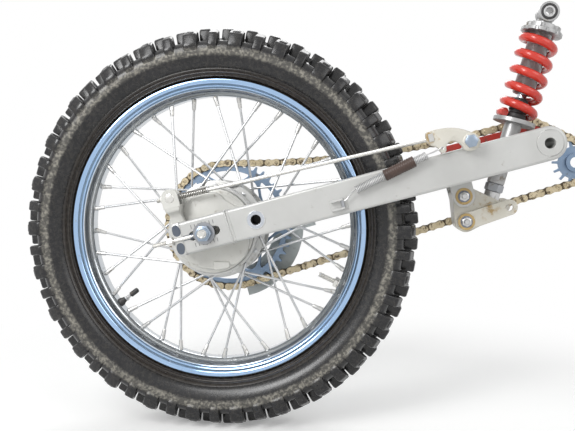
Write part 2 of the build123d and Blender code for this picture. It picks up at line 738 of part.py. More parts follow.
with BuildPart() as brake_lever:
    with BuildSketch(upright(0, 0, lever_face)):
        with Locations((cam_x, cam_z)):
            Circle(FORK_RADIUS)
        with Locations((pin_x, pin_z)):
            Circle(FORK_RADIUS)
        make_hull()
        with Locations((cam_x, cam_z)):
            Circle(CAM_RADIUS, mode=Mode.SUBTRACT)
        with Locations((pin_x, pin_z)):
            Circle(ROD_PIN_RADIUS, mode=Mode.SUBTRACT)
    extrude(amount=LEVER_THICKNESS)
    with BuildSketch(upright(pin_x, pin_z, lever_face)):
        Circle(FORK_RADIUS)
        with Locations((0, -FORK_RADIUS)):
            Rectangle(1.6 * FORK_RADIUS, 2 * FORK_RADIUS)
        Circle(ROD_PIN_RADIUS, mode=Mode.SUBTRACT)
    extrude(amount=2 * FORK_HALF_WIDTH)
    with BuildSketch(upright(pin_x, pin_z, lever_face - LEVER_THICKNESS)):
        Circle(FORK_RADIUS + 2)
    extrude(amount=2 * (FORK_HALF_WIDTH - LEVER_THICKNESS), mode=Mode.SUBTRACT)
write(brake_lever.part, "brake_lever")

crank_pin_x, crank_pin_z = on_arm(*CRANK_PIN)
rod_start = Vector(pin_x, -LEVER_SPREAD, pin_z)
rod_end = Vector(crank_pin_x, -CRANK_SPREAD, crank_pin_z)
rod_run = (rod_end - rod_start).normalized()
with BuildPart() as rod_pin:
    with Locations(across(pin_x, pin_z, -LEVER_SPREAD - FORK_HALF_WIDTH - 1)):
        Cylinder(ROD_PIN_RADIUS, 2 * FORK_HALF_WIDTH + 2, align=ON_END)
    with Locations(Plane(origin=rod_start - rod_run * 2 * FORK_RADIUS, z_dir=rod_run)):
        Cylinder(ROD_RADIUS, 4 * FORK_RADIUS, align=ON_END, mode=Mode.SUBTRACT)
write(rod_pin.part, "rod_pin")

with BuildPart() as brake_rod:
    rod_tail = rod_start - rod_run * ROD_OVERHANG
    with Locations(Plane(origin=rod_tail, z_dir=rod_run)):
        Cylinder(ROD_RADIUS, (rod_end - rod_tail).length - 6, align=ON_END)
write(brake_rod.part, "brake_rod")

with BuildPart() as rod_spring:
    spring_start = rod_start + rod_run * (ROD_PIN_RADIUS + 0.3)
    with Locations(Plane(origin=spring_start, z_dir=rod_run)):
        Cylinder(ROD_SPRING_RADIUS, ROD_SPRING_LENGTH, align=ON_END)
        Cylinder(ROD_RADIUS, ROD_SPRING_LENGTH, align=ON_END, mode=Mode.SUBTRACT)
write(rod_spring.part, "rod_spring")

with BuildPart() as rod_nut:
    with BuildSketch(Plane(origin=rod_start - rod_run * (ROD_PIN_RADIUS + 8.6), z_dir=rod_run)):
        RegularPolygon(6, 6)
        Circle(ROD_RADIUS, mode=Mode.SUBTRACT)
    extrude(amount=8)
write(rod_nut.part, "rod_nut")

# The crank casting turns on a boss welded to the top of the right arm.
CRANK_CORNERS = (
    (317, 38),
    (316, 46),
    (320, 52.8),
    (332, 53.5),
    (348, 51),
    (360, 46.2),
    (372, 38),
    (379, 29),
    (377, 20),
    (368, 17),
    (359, 20),
    (356, 28),
    (345, 35),
    (338, 31),
    (332, 23.5),
    (327, 31),
)
with BuildPart() as brake_crank:
    with BuildSketch(arm_side(-CRANK_SPREAD + CRANK_THICKNESS / 2)):
        with BuildLine():
            Polyline(*CRANK_CORNERS, close=True)
        make_face()
        with Locations(CRANK_PIVOT):
            Circle(CRANK_BORE_RADIUS, mode=Mode.SUBTRACT)
    extrude(amount=CRANK_THICKNESS)
    with Locations(Plane(origin=rod_end - rod_run * 30, z_dir=rod_run)):
        Cylinder(ROD_RADIUS, 24, align=ON_END, mode=Mode.SUBTRACT)
write(brake_crank.part, "brake_crank")

crank_x, crank_z = on_arm(*CRANK_PIVOT)
boss_face = CRANK_SPREAD - CRANK_THICKNESS / 2
with BuildPart() as crank_boss:
    with BuildSketch(arm_side(-boss_face)):
        with Locations(CRANK_PIVOT):
            Circle(9)
            Rectangle(18, 2 * (CRANK_PIVOT[1] - half_height))
        with Locations((CRANK_PIVOT[0], half_height)):
            Rectangle(40, 40, align=(Align.CENTER, Align.MAX), mode=Mode.SUBTRACT)
    extrude(amount=-24)
    with Locations(across(crank_x, crank_z, -boss_face - CRANK_THICKNESS)):
        Cylinder(CRANK_BORE_RADIUS, CRANK_THICKNESS, align=ON_END)
    with BuildSketch(across(crank_x, crank_z, -boss_face - CRANK_THICKNESS - 5)):
        RegularPolygon(8, 6)
    extrude(amount=5)
write(crank_boss.part, "crank_boss")

# The return spring pulls the crank back towards a lug on the arm, through a rubber sleeve.
lug_x, lug_z = on_arm(*SPRING_LUG)
with BuildPart() as spring_lug:
    with BuildSketch(arm_side(-arm_outside)):
        with Locations(SPRING_LUG):
            Rectangle(22, 14)
    extrude(amount=RETURN_SPRING_SPREAD - arm_outside + 2)
write(spring_lug.part, "spring_lug")

coil_x, coil_z = on_arm(*RETURN_SPRING_START)
coil_end_x, coil_end_z = on_arm(*RETURN_SPRING_END)
coil_start = Vector(coil_x, -RETURN_SPRING_SPREAD, coil_z)
coil_end = Vector(coil_end_x, -RETURN_SPRING_SPREAD, coil_end_z)
coil_run = (coil_end - coil_start).normalized()
with BuildPart() as return_spring:
    with Locations(Plane(origin=coil_start, z_dir=coil_run)):
        Cylinder(RETURN_SPRING_RADIUS, (coil_end - coil_start).length, align=ON_END)
write(return_spring.part, "return_spring")

with BuildPart() as spring_sleeve:
    with Locations(Plane(origin=coil_start + coil_run * SLEEVE_START, z_dir=coil_run)):
        Cylinder(SLEEVE_RADIUS, SLEEVE_LENGTH, align=ON_END)
        Cylinder(RETURN_SPRING_RADIUS, SLEEVE_LENGTH, align=ON_END, mode=Mode.SUBTRACT)
write(spring_sleeve.part, "spring_sleeve")

# Rocker: two cheeks joined behind the shock, on pins through the bridge's ears, the bars and the shock.
with BuildPart() as rocker:
    with BuildSketch(arm_side(-ROCKER_HALF_WIDTH)):
        for place in (ROCKER_ARM_PIN, ROCKER_LINK_PIN, ROCKER_SHOCK_PIN):
            with Locations(place):
                Circle(LINK_EYE_RADIUS)
        make_hull()
        for place in (ROCKER_ARM_PIN, ROCKER_LINK_PIN, ROCKER_SHOCK_PIN):
            with Locations(place):
                Circle(LINK_PIN_RADIUS, mode=Mode.SUBTRACT)
    extrude(amount=-2 * ROCKER_HALF_WIDTH)
    with BuildSketch(arm_side(-CLEVIS_HALF_WIDTH - SEAT_GAP)):
        with Locations(ROCKER_SHOCK_PIN):
            Circle(LINK_EYE_RADIUS + 9)
    extrude(amount=-2 * (CLEVIS_HALF_WIDTH + SEAT_GAP), mode=Mode.SUBTRACT)
write(rocker.part, "rocker")

bar_inside = ROCKER_HALF_WIDTH + SEAT_GAP
with BuildPart() as link_bars:
    for start in (bar_inside, -bar_inside - PLATE_THICKNESS):
        with BuildSketch(arm_side(start)):
            with Locations(ROCKER_LINK_PIN):
                Circle(12)
            with Locations(FRAME_LINK_PIN):
                Circle(11)
            make_hull()
            with Locations(ROCKER_LINK_PIN, FRAME_LINK_PIN):
                Circle(LINK_PIN_RADIUS, mode=Mode.SUBTRACT)
        extrude(amount=-PLATE_THICKNESS)
write(link_bars.part, "link_bars")

# Columns: place of the pin, half its length between the heads, height of its heads.
link_outside = bar_inside + PLATE_THICKNESS
LINK_PINS = (
    (ROCKER_ARM_PIN, link_outside, 6),
    (ROCKER_LINK_PIN, link_outside, 6),
    (ROCKER_SHOCK_PIN, ROCKER_HALF_WIDTH, 0),
)
with BuildPart() as link_pins:
    for place, reach, head in LINK_PINS:
        link_x, link_z = on_arm(*place)
        with Locations(across(link_x, link_z, -reach - head)):
            Cylinder(LINK_PIN_RADIUS, 2 * (reach + head), align=ON_END)
        if head:
            for start in (-reach - head, reach):
                with BuildSketch(across(link_x, link_z, start)):
                    RegularPolygon(9, 6)
                extrude(amount=head)
write(link_pins.part, "link_pins")

# Shock absorber, on its own axis from the rocker's pin up to the frame's eye.
foot_x, foot_z = on_arm(*ROCKER_SHOCK_PIN)
lean = radians(SHOCK_LEAN)
shock_run = Vector(sin(lean), 0, cos(lean))
shock_foot = Vector(foot_x, 0, foot_z)
shock_head = shock_foot + shock_run * SHOCK_LENGTH


def shock_plane(height):
    """Plane across the shock at a height over its lower eye."""
    return Plane(origin=shock_foot + shock_run * height, x_dir=(0, 1, 0), z_dir=shock_run)


with BuildPart() as shock_clevis:
    with Locations(across(foot_x, foot_z, -CLEVIS_HALF_WIDTH)):
        Cylinder(14, 2 * CLEVIS_HALF_WIDTH, align=ON_END)
    with Locations(shock_plane(0)):
        Cylinder(11, 24, align=ON_END)
    with Locations(across(foot_x, foot_z, -CLEVIS_HALF_WIDTH)):
        Cylinder(LINK_PIN_RADIUS, 2 * CLEVIS_HALF_WIDTH, align=ON_END, mode=Mode.SUBTRACT)
write(shock_clevis.part, "shock_clevis")

# Columns: node, first height, last height, radius, bore, corners of a nut or 0 for a round piece.
SHOCK_PIECES = (
    ("shock_lock_nut", 24, 36, 13, SHAFT_RADIUS, 6),
    ("shock_shaft", 24, 165, SHAFT_RADIUS, 0, 0),
    ("shock_body", 165, 262, BODY_RADIUS, 0, 0),
)
for name, low, high, radius, bore, corners in SHOCK_PIECES:
    with BuildPart() as piece:
        with BuildSketch(shock_plane(low)):
            if corners:
                RegularPolygon(radius, corners)
            else:
                Circle(radius)
            if bore:
                Circle(bore, mode=Mode.SUBTRACT)
        extrude(amount=high - low)
    write(piece.part, name)

with BuildPart() as spring_seat:
    with Locations(shock_plane(36)):
        Cylinder(12, SPRING_START - 36, align=ON_END)
    with Locations(shock_plane(SPRING_START - 6)):
        Cylinder(SPRING_RADIUS + 1, 6, align=ON_END)
    with Locations(shock_plane(36)):
        Cylinder(SHAFT_RADIUS, SPRING_START, align=ON_END, mode=Mode.SUBTRACT)
write(spring_seat.part, "spring_seat")

spring_middle = SPRING_RADIUS - SPRING_WIRE
spring_pitch = (SPRING_END - SPRING_START - 2 * SPRING_WIRE) / SPRING_TURNS
with BuildPart() as shock_spring:
    with BuildLine() as coil:
        Helix(
            spring_pitch,
            SPRING_TURNS * spring_pitch,
            spring_middle,
            center=shock_foot + shock_run * (SPRING_START + SPRING_WIRE),
            direction=shock_run,
        )
    with BuildSketch(Plane(origin=coil.line @ 0, z_dir=coil.line % 0)):
        Circle(SPRING_WIRE)
    sweep(is_frenet=True)
write(shock_spring.part, "shock_spring")

with BuildPart() as preload_rings:
    with Locations(shock_plane(SPRING_END)):
        Cylinder(SPRING_RADIUS, 5, align=ON_END)
    with Locations(shock_plane(SPRING_END + 5)):
        Cylinder(SPRING_RADIUS - 4, 7, align=ON_END)
    with Locations(shock_plane(SPRING_END)):
        Cylinder(BODY_RADIUS, 12, align=ON_END, mode=Mode.SUBTRACT)
write(preload_rings.part, "preload_rings")

with BuildPart() as shock_eye:
    with Locations(across(shock_head.X, shock_head.Z, -CLEVIS_HALF_WIDTH)):
        Cylinder(14, 2 * CLEVIS_HALF_WIDTH, align=ON_END)
    with Locations(shock_plane(SPRING_END + 12)):
        Cylinder(10, SHOCK_LENGTH - SPRING_END - 12, align=ON_END)
    with Locations(across(shock_head.X, shock_head.Z, -CLEVIS_HALF_WIDTH)):
        Cylinder(LINK_PIN_RADIUS, 2 * CLEVIS_HALF_WIDTH, align=ON_END, mode=Mode.SUBTRACT)
write(shock_eye.part, "shock_eye")
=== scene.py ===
# %% [markdown]
# # Rear wheel and swingarm of a trail bike
# The solids of this part come from a CAD model and stay where they are. This script dresses
# them: it gives every solid a finish, and puts finer surfaces in place of the ones that a plain
# solid can't carry, such as the knobby tyre, the spokes, the springs and the roller chain.
# Lengths below are in millimetres, as on a workshop drawing, and become metres in one place,
# where a mesh is made. Shaders and lamps work in metres.

import bmesh
import bpy
import numpy as np
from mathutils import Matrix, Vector


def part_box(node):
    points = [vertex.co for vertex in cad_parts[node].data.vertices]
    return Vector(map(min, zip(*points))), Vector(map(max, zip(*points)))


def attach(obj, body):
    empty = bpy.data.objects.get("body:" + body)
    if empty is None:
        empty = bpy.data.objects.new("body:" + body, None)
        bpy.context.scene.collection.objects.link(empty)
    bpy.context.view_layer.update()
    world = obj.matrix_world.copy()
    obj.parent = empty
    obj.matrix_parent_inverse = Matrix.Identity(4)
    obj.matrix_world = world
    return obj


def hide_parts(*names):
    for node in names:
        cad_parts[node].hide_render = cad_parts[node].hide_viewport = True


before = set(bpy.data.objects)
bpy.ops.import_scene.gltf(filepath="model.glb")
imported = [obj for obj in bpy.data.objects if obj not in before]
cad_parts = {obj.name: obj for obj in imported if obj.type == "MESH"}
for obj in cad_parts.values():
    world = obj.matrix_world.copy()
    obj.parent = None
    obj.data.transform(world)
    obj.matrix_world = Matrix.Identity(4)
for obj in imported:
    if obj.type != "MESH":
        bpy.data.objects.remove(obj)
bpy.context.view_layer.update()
MM = 0.001

# %% [markdown]
# ## Where things are
# The origin is the middle of the swingarm's pivot, X runs forward, Y to the bike's left and Z
# up. The arm falls away to the rear, so a place on it is handiest as a distance along the arm
# and a height over its middle line. Two numbers and the arm's slope turn that into X and Z.

# %% Wheel centre and arm frame
ARM_DROOP, ARM_LENGTH = np.radians(14.8), 468.0
FORWARD, LEFTWARD, UPWARD = np.eye(3)
along_arm = np.cos(ARM_DROOP) * FORWARD + np.sin(ARM_DROOP) * UPWARD
over_arm = np.cos(ARM_DROOP) * UPWARD - np.sin(ARM_DROOP) * FORWARD
wheel_centre = -ARM_LENGTH * along_arm


def on_arm(along, over, y):
    """Point from the axle: the wheel's centre plus a distance along the arm and one over it."""
    return wheel_centre + along * along_arm + over * over_arm + y * LEFTWARD


print("wheel centre", np.round(wheel_centre, 1))

# %% [markdown]
# ## Camera
# The photograph was taken from the right side at about the height of the axle, from a metre
# away, looking slightly down and slightly to the rear. The camera's place and angle were
# fitted to the outlines of the rim and the arm, so that a piece and its picture line up.

# %% Camera
CAMERA_PLACE = (-224.04, -1011.67, -42.03)
CAMERA_DOWN, CAMERA_REARWARD = 0.0572, 0.1254
FOCAL_PIXELS, PHOTO_WIDTH = 694.99, 575
SENSOR_WIDTH = 36.0


def settled(thing, **settings):
    """The thing itself, once its settings are made."""
    for name, value in settings.items():
        setattr(thing, name, value)
    return thing


def placed(name, data, **settings):
    """A new object in the scene, with its data and settings."""
    made = settled(bpy.data.objects.new(name, data), **settings)
    bpy.context.collection.objects.link(made)
    return made


camera_data = settled(bpy.data.cameras.new("photo_camera"), sensor_fit="HORIZONTAL",
                      sensor_width=SENSOR_WIDTH, lens=SENSOR_WIDTH * FOCAL_PIXELS / PHOTO_WIDTH)
bpy.context.scene.camera = placed(
    "photo_camera", camera_data, location=[value * MM for value in CAMERA_PLACE],
    rotation_euler=(np.pi / 2 - CAMERA_DOWN, 0.0, CAMERA_REARWARD))
print("lens", round(camera_data.lens, 2), "mm")

# %% [markdown]
# ## Writing shaders
# A shader is a tree of small nodes. Written out it is long, so the helpers below each make one
# kind of node and link it: a calculation, a smooth step, noise, or a mix of two colours.
# Wherever a node is given as a value, its first output is meant.

# %% Node helpers
def fill(tree, node, inputs):
    """Fills inputs of a node: a node stands for its first output, and a socket is linked."""
    for name, value in inputs.items():
        if isinstance(value, bpy.types.Node):
            value = value.outputs[0]
        if isinstance(value, bpy.types.NodeSocket):
            tree.links.new(value, node.inputs[name])
        else:
            node.inputs[name].default_value = value


def add_node(tree, kind, inputs=(), **settings):
    """A shader node with its settings and a dictionary of inputs."""
    node = settled(tree.nodes.new(f"ShaderNode{kind}"), **settings)
    fill(tree, node, dict(inputs))
    return node


def reckon(tree, operation, *values):
    """A calculation with one or two values."""
    return add_node(tree, "Math", dict(enumerate(values)), operation=operation)


def scaled(tree, value, factor):
    """A mask times a number or another mask."""
    return reckon(tree, "MULTIPLY", value, factor)


def remapped(tree, value, start, end):
    """From start to end, in a straight line, as the value goes from 0 to 1."""
    return add_node(tree, "MapRange", {"Value": value, "To Min": start, "To Max": end})


def smooth_step(tree, value, low, high, start=0.0, end=1.0):
    """From start to end as the value goes from low to high, easing at both ends."""
    inputs = {"Value": value, "From Min": low, "From Max": high, "To Min": start, "To Max": end}
    return add_node(tree, "MapRange", inputs, interpolation_type="SMOOTHSTEP")


def between(tree, value, low, high, soft):
    """1 where the value lies between low and high, fading to 0 over the soft distance outside."""
    rise = smooth_step(tree, value, low - soft, low)
    return scaled(tree, rise, smooth_step(tree, value, high, high + soft, 1.0, 0.0))


def noise(tree, place, scale, detail, roughness=0.5):
    """Noise in space."""
    return add_node(tree, "TexNoise", {
        "Vector": place, "Scale": scale, "Detail": detail, "Roughness": roughness})


def bumped(tree, height, depth):
    """A normal tilted by a relief that is so many millimetres deep."""
    return add_node(tree, "Bump", {"Strength": 0.6, "Distance": depth * MM, "Height": height})


def mix_colour(tree, mask, *colours):
    """Colour that goes from the first to the second as the mask goes from 0 to 1."""
    first, second = ((*value, 1.0) if isinstance(value, tuple) else value for value in colours)
    return add_node(tree, "Mix", {0: mask, 6: first, 7: second}, data_type="RGBA").outputs[2]


def seen_directly(tree):
    """1 for what the camera, a mirror or a glass shows directly, 0 for light that falls on things."""
    path = add_node(tree, "LightPath").outputs
    first = reckon(tree, "MAXIMUM", path["Is Camera Ray"], path["Is Glossy Ray"])
    return reckon(tree, "MAXIMUM", first, path["Is Transmission Ray"])


def new_look(name):
    """An empty material: itself, its tree, its shader and the object coordinates."""
    look = bpy.data.materials.new(name)
    look.use_nodes = True
    tree = look.node_tree
    place = add_node(tree, "TexCoord").outputs["Object"]
    return look, tree, tree.nodes["Principled BSDF"], place


# %% [markdown]
# ## Floor, backdrop and light
# A pale floor under the tyre takes the shadow. The world is white to the camera and in
# reflections, and dimmer as a light, so paint keeps the colour it is given. The floor glows a
# little for the camera alone and turns plain white further out, so that it meets the backdrop
# without a line and keeps the shadow under the wheel.
# Two soft lamps stand to the rear on the right, one in front and one on the far side. The lower
# of the two at the rear lights the cast ends of the arms, which would be dull without it.

# %% Floor and world
WHITE = (1, 1, 1, 1)
SKY_LIGHT = (0.97, 0.985, 1.0, 1)
FLOOR_COLOUR = (0.86, 0.86, 0.85, 1.0)
FLOOR_HALF_SIZE, FLOOR_GAP = 6.0, 0.0005
FLOOR_MIDDLE_X, FLOOR_FADE = -0.35, (0.45, 0.95)
FLOOR_LIFT, WORLD_LIGHT = 0.25, 0.38

floor_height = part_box("tyre")[0].z - FLOOR_GAP
floor_mesh = bpy.data.meshes.new("floor")
floor_corners = [(x * FLOOR_HALF_SIZE, y * FLOOR_HALF_SIZE, floor_height)
                 for x, y in ((-1, -1), (1, -1), (1, 1), (-1, 1))]
floor_mesh.from_pydata(floor_corners, [], [(0, 1, 2, 3)])
floor = placed("floor", floor_mesh)

world = bpy.data.worlds.new("studio")
world.use_nodes = True
bpy.context.scene.world = world
tree = world.node_tree
tree.nodes.clear()
seen = add_node(tree, "Background", {"Color": WHITE, "Strength": 1.0})
lighting = add_node(tree, "Background", {"Color": SKY_LIGHT, "Strength": WORLD_LIGHT})
world_mix = add_node(tree, "MixShader", {0: seen_directly(tree), 1: lighting, 2: seen})
add_node(tree, "OutputWorld", {"Surface": world_mix})

floor_look, tree, shader, place = new_look("floor_look")
floor_middle = (FLOOR_MIDDLE_X, 0.0, floor_height)
reach = add_node(tree, "VectorMath", {0: place, 1: floor_middle}, operation="DISTANCE")
far = scaled(tree, seen_directly(tree), smooth_step(tree, reach.outputs["Value"], *FLOOR_FADE))
fill(tree, shader, {"Base Color": FLOOR_COLOUR, "Roughness": 0.9, "Emission Color": WHITE,
                    "Emission Strength": scaled(tree, seen_directly(tree), FLOOR_LIFT)})
white = add_node(tree, "Emission", {"Color": WHITE, "Strength": 1.0})
floor_mix = add_node(tree, "MixShader", {0: far, 1: shader, 2: white})
fill(tree, tree.nodes["Material Output"], {"Surface": floor_mix})
floor_mesh.materials.append(floor_look)
bpy.context.scene.view_settings.view_transform = "Standard"
print("floor at", round(floor_height, 4), "m")

# %% Lamps
# Columns: name, place, size, power in watts. Each lamp points at the middle of the unit.
LAMPS = (
    ("key_lamp", (-1.3, -1.7, 1.7), 1.2, 20.0),
    ("side_lamp", (-1.5, -1.75, 0.75), 0.8, 19.0),
    ("front_lamp", (1.2, -1.3, 0.9), 1.4, 8.0),
    ("rear_lamp", (-0.4, 1.9, 1.4), 1.6, 16.0),
)
unit_middle = Vector((FLOOR_MIDDLE_X, 0.0, -0.1))
for name, lamp_place, size, power in LAMPS:
    lamp_data = settled(bpy.data.lights.new(name, "AREA"), shape="DISK", size=size, energy=power)
    aim = (unit_middle - Vector(lamp_place)).to_track_quat("-Z", "Y").to_euler()
    placed(name, lamp_data, location=lamp_place, rotation_euler=aim)
print(len(LAMPS), "lamps")

# %% [markdown]
# ## Effects that several finishes share
# Real paint, rubber and plating are never one even colour. Three small shader groups give the
# unevenness, and every finish sets them to its own values: *Mottle* is a slow drift of tone,
# *Dirt* a patchy mask with a chosen coverage, and *Wheel polar* the distance from the wheel's
# axis and the turn about it, so that a band of dust can follow the tyre round. They read
# object coordinates, which stay with the piece when its body moves.

# %% Shader groups
def new_group(name, numbers, results):
    """A shader group that takes a vector and some numbers; gives itself, its inputs and its end."""
    group = bpy.data.node_groups.new(name, "ShaderNodeTree")
    group.interface.new_socket("Vector", in_out="INPUT", socket_type="NodeSocketVector")
    for socket, value in numbers.items():
        made = group.interface.new_socket(socket, in_out="INPUT", socket_type="NodeSocketFloat")
        made.default_value = value
    for socket in results:
        group.interface.new_socket(socket, in_out="OUTPUT", socket_type="NodeSocketFloat")
    return group, group.nodes.new("NodeGroupInput").outputs, group.nodes.new("NodeGroupOutput")


mottle_group, given, end = new_group("Mottle", {"Scale": 20.0}, ("Value",))
drift = noise(mottle_group, given["Vector"], given["Scale"], 6.0, 0.6)
spread = add_node(mottle_group, "MapRange", {"Value": drift, "From Min": 0.3, "From Max": 0.7})
fill(mottle_group, end, {"Value": spread})

dirt_group, given, end = new_group("Dirt", {"Scale": 30.0, "Coverage": 0.3, "Softness": 0.15}, ("Mask",))
patches = noise(dirt_group, given["Vector"], given["Scale"], 8.0, 0.65)
edge = reckon(dirt_group, "SUBTRACT", 0.75, given["Coverage"])
far_edge = reckon(dirt_group, "ADD", edge, given["Softness"])
fill(dirt_group, end, {"Mask": smooth_step(dirt_group, patches, edge, far_edge)})

polar_group, given, end = new_group("Wheel polar", {}, ("Radius", "Turn"))
from_axle = add_node(polar_group, "VectorMath", {0: given["Vector"], 1: tuple(wheel_centre * MM)},
                     operation="SUBTRACT")
parts = add_node(polar_group, "SeparateXYZ", {0: from_axle}).outputs
flat = add_node(polar_group, "CombineXYZ", {0: parts[0], 2: parts[2]})
length = add_node(polar_group, "VectorMath", {0: flat}, operation="LENGTH")
turn = reckon(polar_group, "ARCTAN2", parts[2], parts[0])
fill(polar_group, end, {"Radius": length.outputs["Value"], "Turn": turn})


def mottled(tree, place, scale):
    """The slow drift of tone, at a scale of its own."""
    return add_node(tree, "Group", {"Vector": place, "Scale": scale}, node_tree=mottle_group)


def dirty(tree, place, scale, coverage, softness=0.16):
    """The mask of the dirty patches."""
    return add_node(tree, "Group", {"Vector": place, "Scale": scale, "Coverage": coverage,
                                    "Softness": softness}, node_tree=dirt_group)


def about_wheel(tree, place):
    """Radius from the wheel's axis in metres, and turn about it, as the outputs of a group."""
    return add_node(tree, "Group", {"Vector": place}, node_tree=polar_group).outputs


print("groups:", mottle_group.name, dirt_group.name, polar_group.name)

# %% [markdown]
# ## One recipe for most finishes
# Nearly every finish here is a base tone drifting towards a second tone, with patches of dirt
# that are rougher than the clean surface, and a fine grain that only tilts the normal. One
# function builds that recipe. What makes silver paint differ from zinc is only the numbers,
# so they sit in a table with named columns.

# %% The recipe
def worn_look(name, tone, drift, dirt, metallic, roughness, dirty_roughness, mottle_scale,
              dirt_scale, coverage, grain_scale, grain_depth, coat=0.0):
    """Base tone drifting to a second tone, dirt in patches, and a fine grain in the normal."""
    look, tree, shader, place = new_look(name)
    mask = dirty(tree, place, dirt_scale, coverage)
    clean = mix_colour(tree, mottled(tree, place, mottle_scale), tone, drift)
    fill(tree, shader, {
        "Base Color": mix_colour(tree, mask, clean, dirt),
        "Roughness": remapped(tree, mask, roughness, dirty_roughness),
        "Metallic": metallic,
        "Coat Weight": coat,
        "Normal": bumped(tree, noise(tree, place, grain_scale, 3.0), grain_depth),
    })
    return look


# Columns: name, tone, drift, dirt, metallic, roughness, dirty roughness, mottle scale,
# dirt scale, dirt coverage, grain scale, grain depth in millimetres, clear coat.
WORN_LOOKS = (
    ("silver_paint", (0.52, 0.52, 0.505), (0.6, 0.6, 0.585), (0.3, 0.28, 0.24), 0.25, 0.34, 0.6,
     14, 60, 0.13, 900, 0.04),
    # Dark painted shade for the pressed marks
    ("mark_painted_shade", (0.16, 0.16, 0.16), (0.2, 0.2, 0.2), (0.12, 0.11, 0.1), 0.2, 0.5, 0.7,
     14, 60, 0.13, 900, 0.02),
    ("hub_paint", (0.54, 0.54, 0.53), (0.64, 0.64, 0.62), (0.3, 0.28, 0.24), 0.3, 0.36, 0.64,
     30, 70, 0.17, 700, 0.06),
    ("panel_paint", (0.58, 0.575, 0.54), (0.67, 0.665, 0.63), (0.34, 0.31, 0.26), 0.15, 0.4, 0.66,
     26, 80, 0.17, 600, 0.08),
    ("guard_white", (0.48, 0.52, 0.51), (0.58, 0.61, 0.6), (0.3, 0.29, 0.26), 0.0, 0.42, 0.66,
     16, 60, 0.16, 500, 0.04),
    ("cream_casting", (0.58, 0.555, 0.48), (0.68, 0.655, 0.59), (0.4, 0.28, 0.13), 0.1, 0.4, 0.7,
     24, 55, 0.2, 420, 0.12),
    ("plated_steel", (0.52, 0.52, 0.52), (0.66, 0.66, 0.66), (0.26, 0.22, 0.17), 0.85, 0.3, 0.6,
     60, 120, 0.14, 800, 0.03),
    ("bright_steel", (0.66, 0.65, 0.62), (0.78, 0.77, 0.74), (0.3, 0.24, 0.16), 0.9, 0.24, 0.5,
     60, 120, 0.12, 800, 0.02),
    ("dull_spring", (0.3, 0.29, 0.27), (0.42, 0.41, 0.39), (0.16, 0.13, 0.1), 0.85, 0.36, 0.6,
     60, 120, 0.2, 800, 0.02),
    ("dark_plated", (0.28, 0.29, 0.31), (0.38, 0.39, 0.41), (0.16, 0.14, 0.11), 0.85, 0.34, 0.6,
     60, 120, 0.18, 700, 0.04),
    # Dark blue-grey painted shade, for the adjusters' eyes, grooves and recesses
    ("blue_painted_shade", (0.085, 0.1, 0.13), (0.13, 0.15, 0.18), (0.1, 0.09, 0.08), 0.4, 0.45, 0.7,
     30, 80, 0.15, 700, 0.04),
    ("ochre_seal", (0.46, 0.31, 0.12), (0.6, 0.45, 0.22), (0.26, 0.15, 0.06), 0.35, 0.42, 0.7,
     50, 90, 0.2, 600, 0.04),
    ("dark_steel", (0.16, 0.18, 0.22), (0.26, 0.28, 0.33), (0.1, 0.08, 0.06), 0.6, 0.42, 0.65,
     60, 120, 0.2, 700, 0.05),
    ("spoke_zinc", (0.5, 0.51, 0.52), (0.68, 0.68, 0.68), (0.26, 0.22, 0.17), 0.85, 0.3, 0.6,
     30, 90, 0.15, 500, 0.02),
    ("nipple_nickel", (0.56, 0.56, 0.56), (0.7, 0.69, 0.66), (0.22, 0.18, 0.13), 0.9, 0.28, 0.55,
     80, 150, 0.18, 700, 0.02),
    ("blue_steel", (0.26, 0.32, 0.4), (0.38, 0.45, 0.54), (0.18, 0.15, 0.11), 0.85, 0.3, 0.6,
     40, 80, 0.12, 500, 0.02),
    # Sprocket steel: a blue steel tone, deepened towards blue as a painted reflection of the sky
    ("sprocket_steel", (0.19, 0.27, 0.39), (0.29, 0.37, 0.48), (0.15, 0.13, 0.1), 0.8, 0.34, 0.6,
     22, 80, 0.17, 500, 0.03),
    ("chain_brown", (0.1, 0.075, 0.045), (0.17, 0.13, 0.08), (0.05, 0.04, 0.03), 0.6, 0.42, 0.65,
     60, 160, 0.26, 600, 0.03),
    ("chain_tan", (0.52, 0.43, 0.27), (0.68, 0.59, 0.42), (0.12, 0.09, 0.06), 0.75, 0.32, 0.6,
     60, 160, 0.26, 600, 0.03),
    ("ring_chrome", (0.5, 0.53, 0.58), (0.62, 0.65, 0.7), (0.24, 0.22, 0.18), 0.95, 0.16, 0.4,
     40, 90, 0.1, 400, 0.01),
    ("red_paint", (0.6, 0.028, 0.014), (0.7, 0.045, 0.024), (0.24, 0.06, 0.04), 0.0, 0.24, 0.6,
     20, 60, 0.14, 300, 0.03, 0.4),
    ("red_moulding", (0.36, 0.022, 0.016), (0.46, 0.04, 0.028), (0.14, 0.05, 0.035), 0.0, 0.48, 0.7,
     20, 60, 0.25, 300, 0.06),
    ("shock_alloy", (0.34, 0.34, 0.34), (0.44, 0.44, 0.44), (0.2, 0.17, 0.13), 0.75, 0.38, 0.6,
     30, 70, 0.2, 600, 0.04),
    ("black_rubber", (0.022, 0.022, 0.023), (0.04, 0.038, 0.037), (0.12, 0.1, 0.085), 0.0, 0.5, 0.8,
     40, 80, 0.18, 400, 0.08),
    ("brown_sleeve", (0.05, 0.028, 0.022), (0.085, 0.05, 0.038), (0.17, 0.13, 0.1), 0.0, 0.42, 0.7,
     60, 90, 0.12, 400, 0.06),
)
looks = {row[0]: worn_look(*row) for row in WORN_LOOKS}
print(len(looks), "finishes")

# %% [markdown]
# ## A finish for every solid
# Each solid gets its finish by name. Where a finer piece stands in for a solid later on, that
# piece brings its own finish and the solid is hidden.

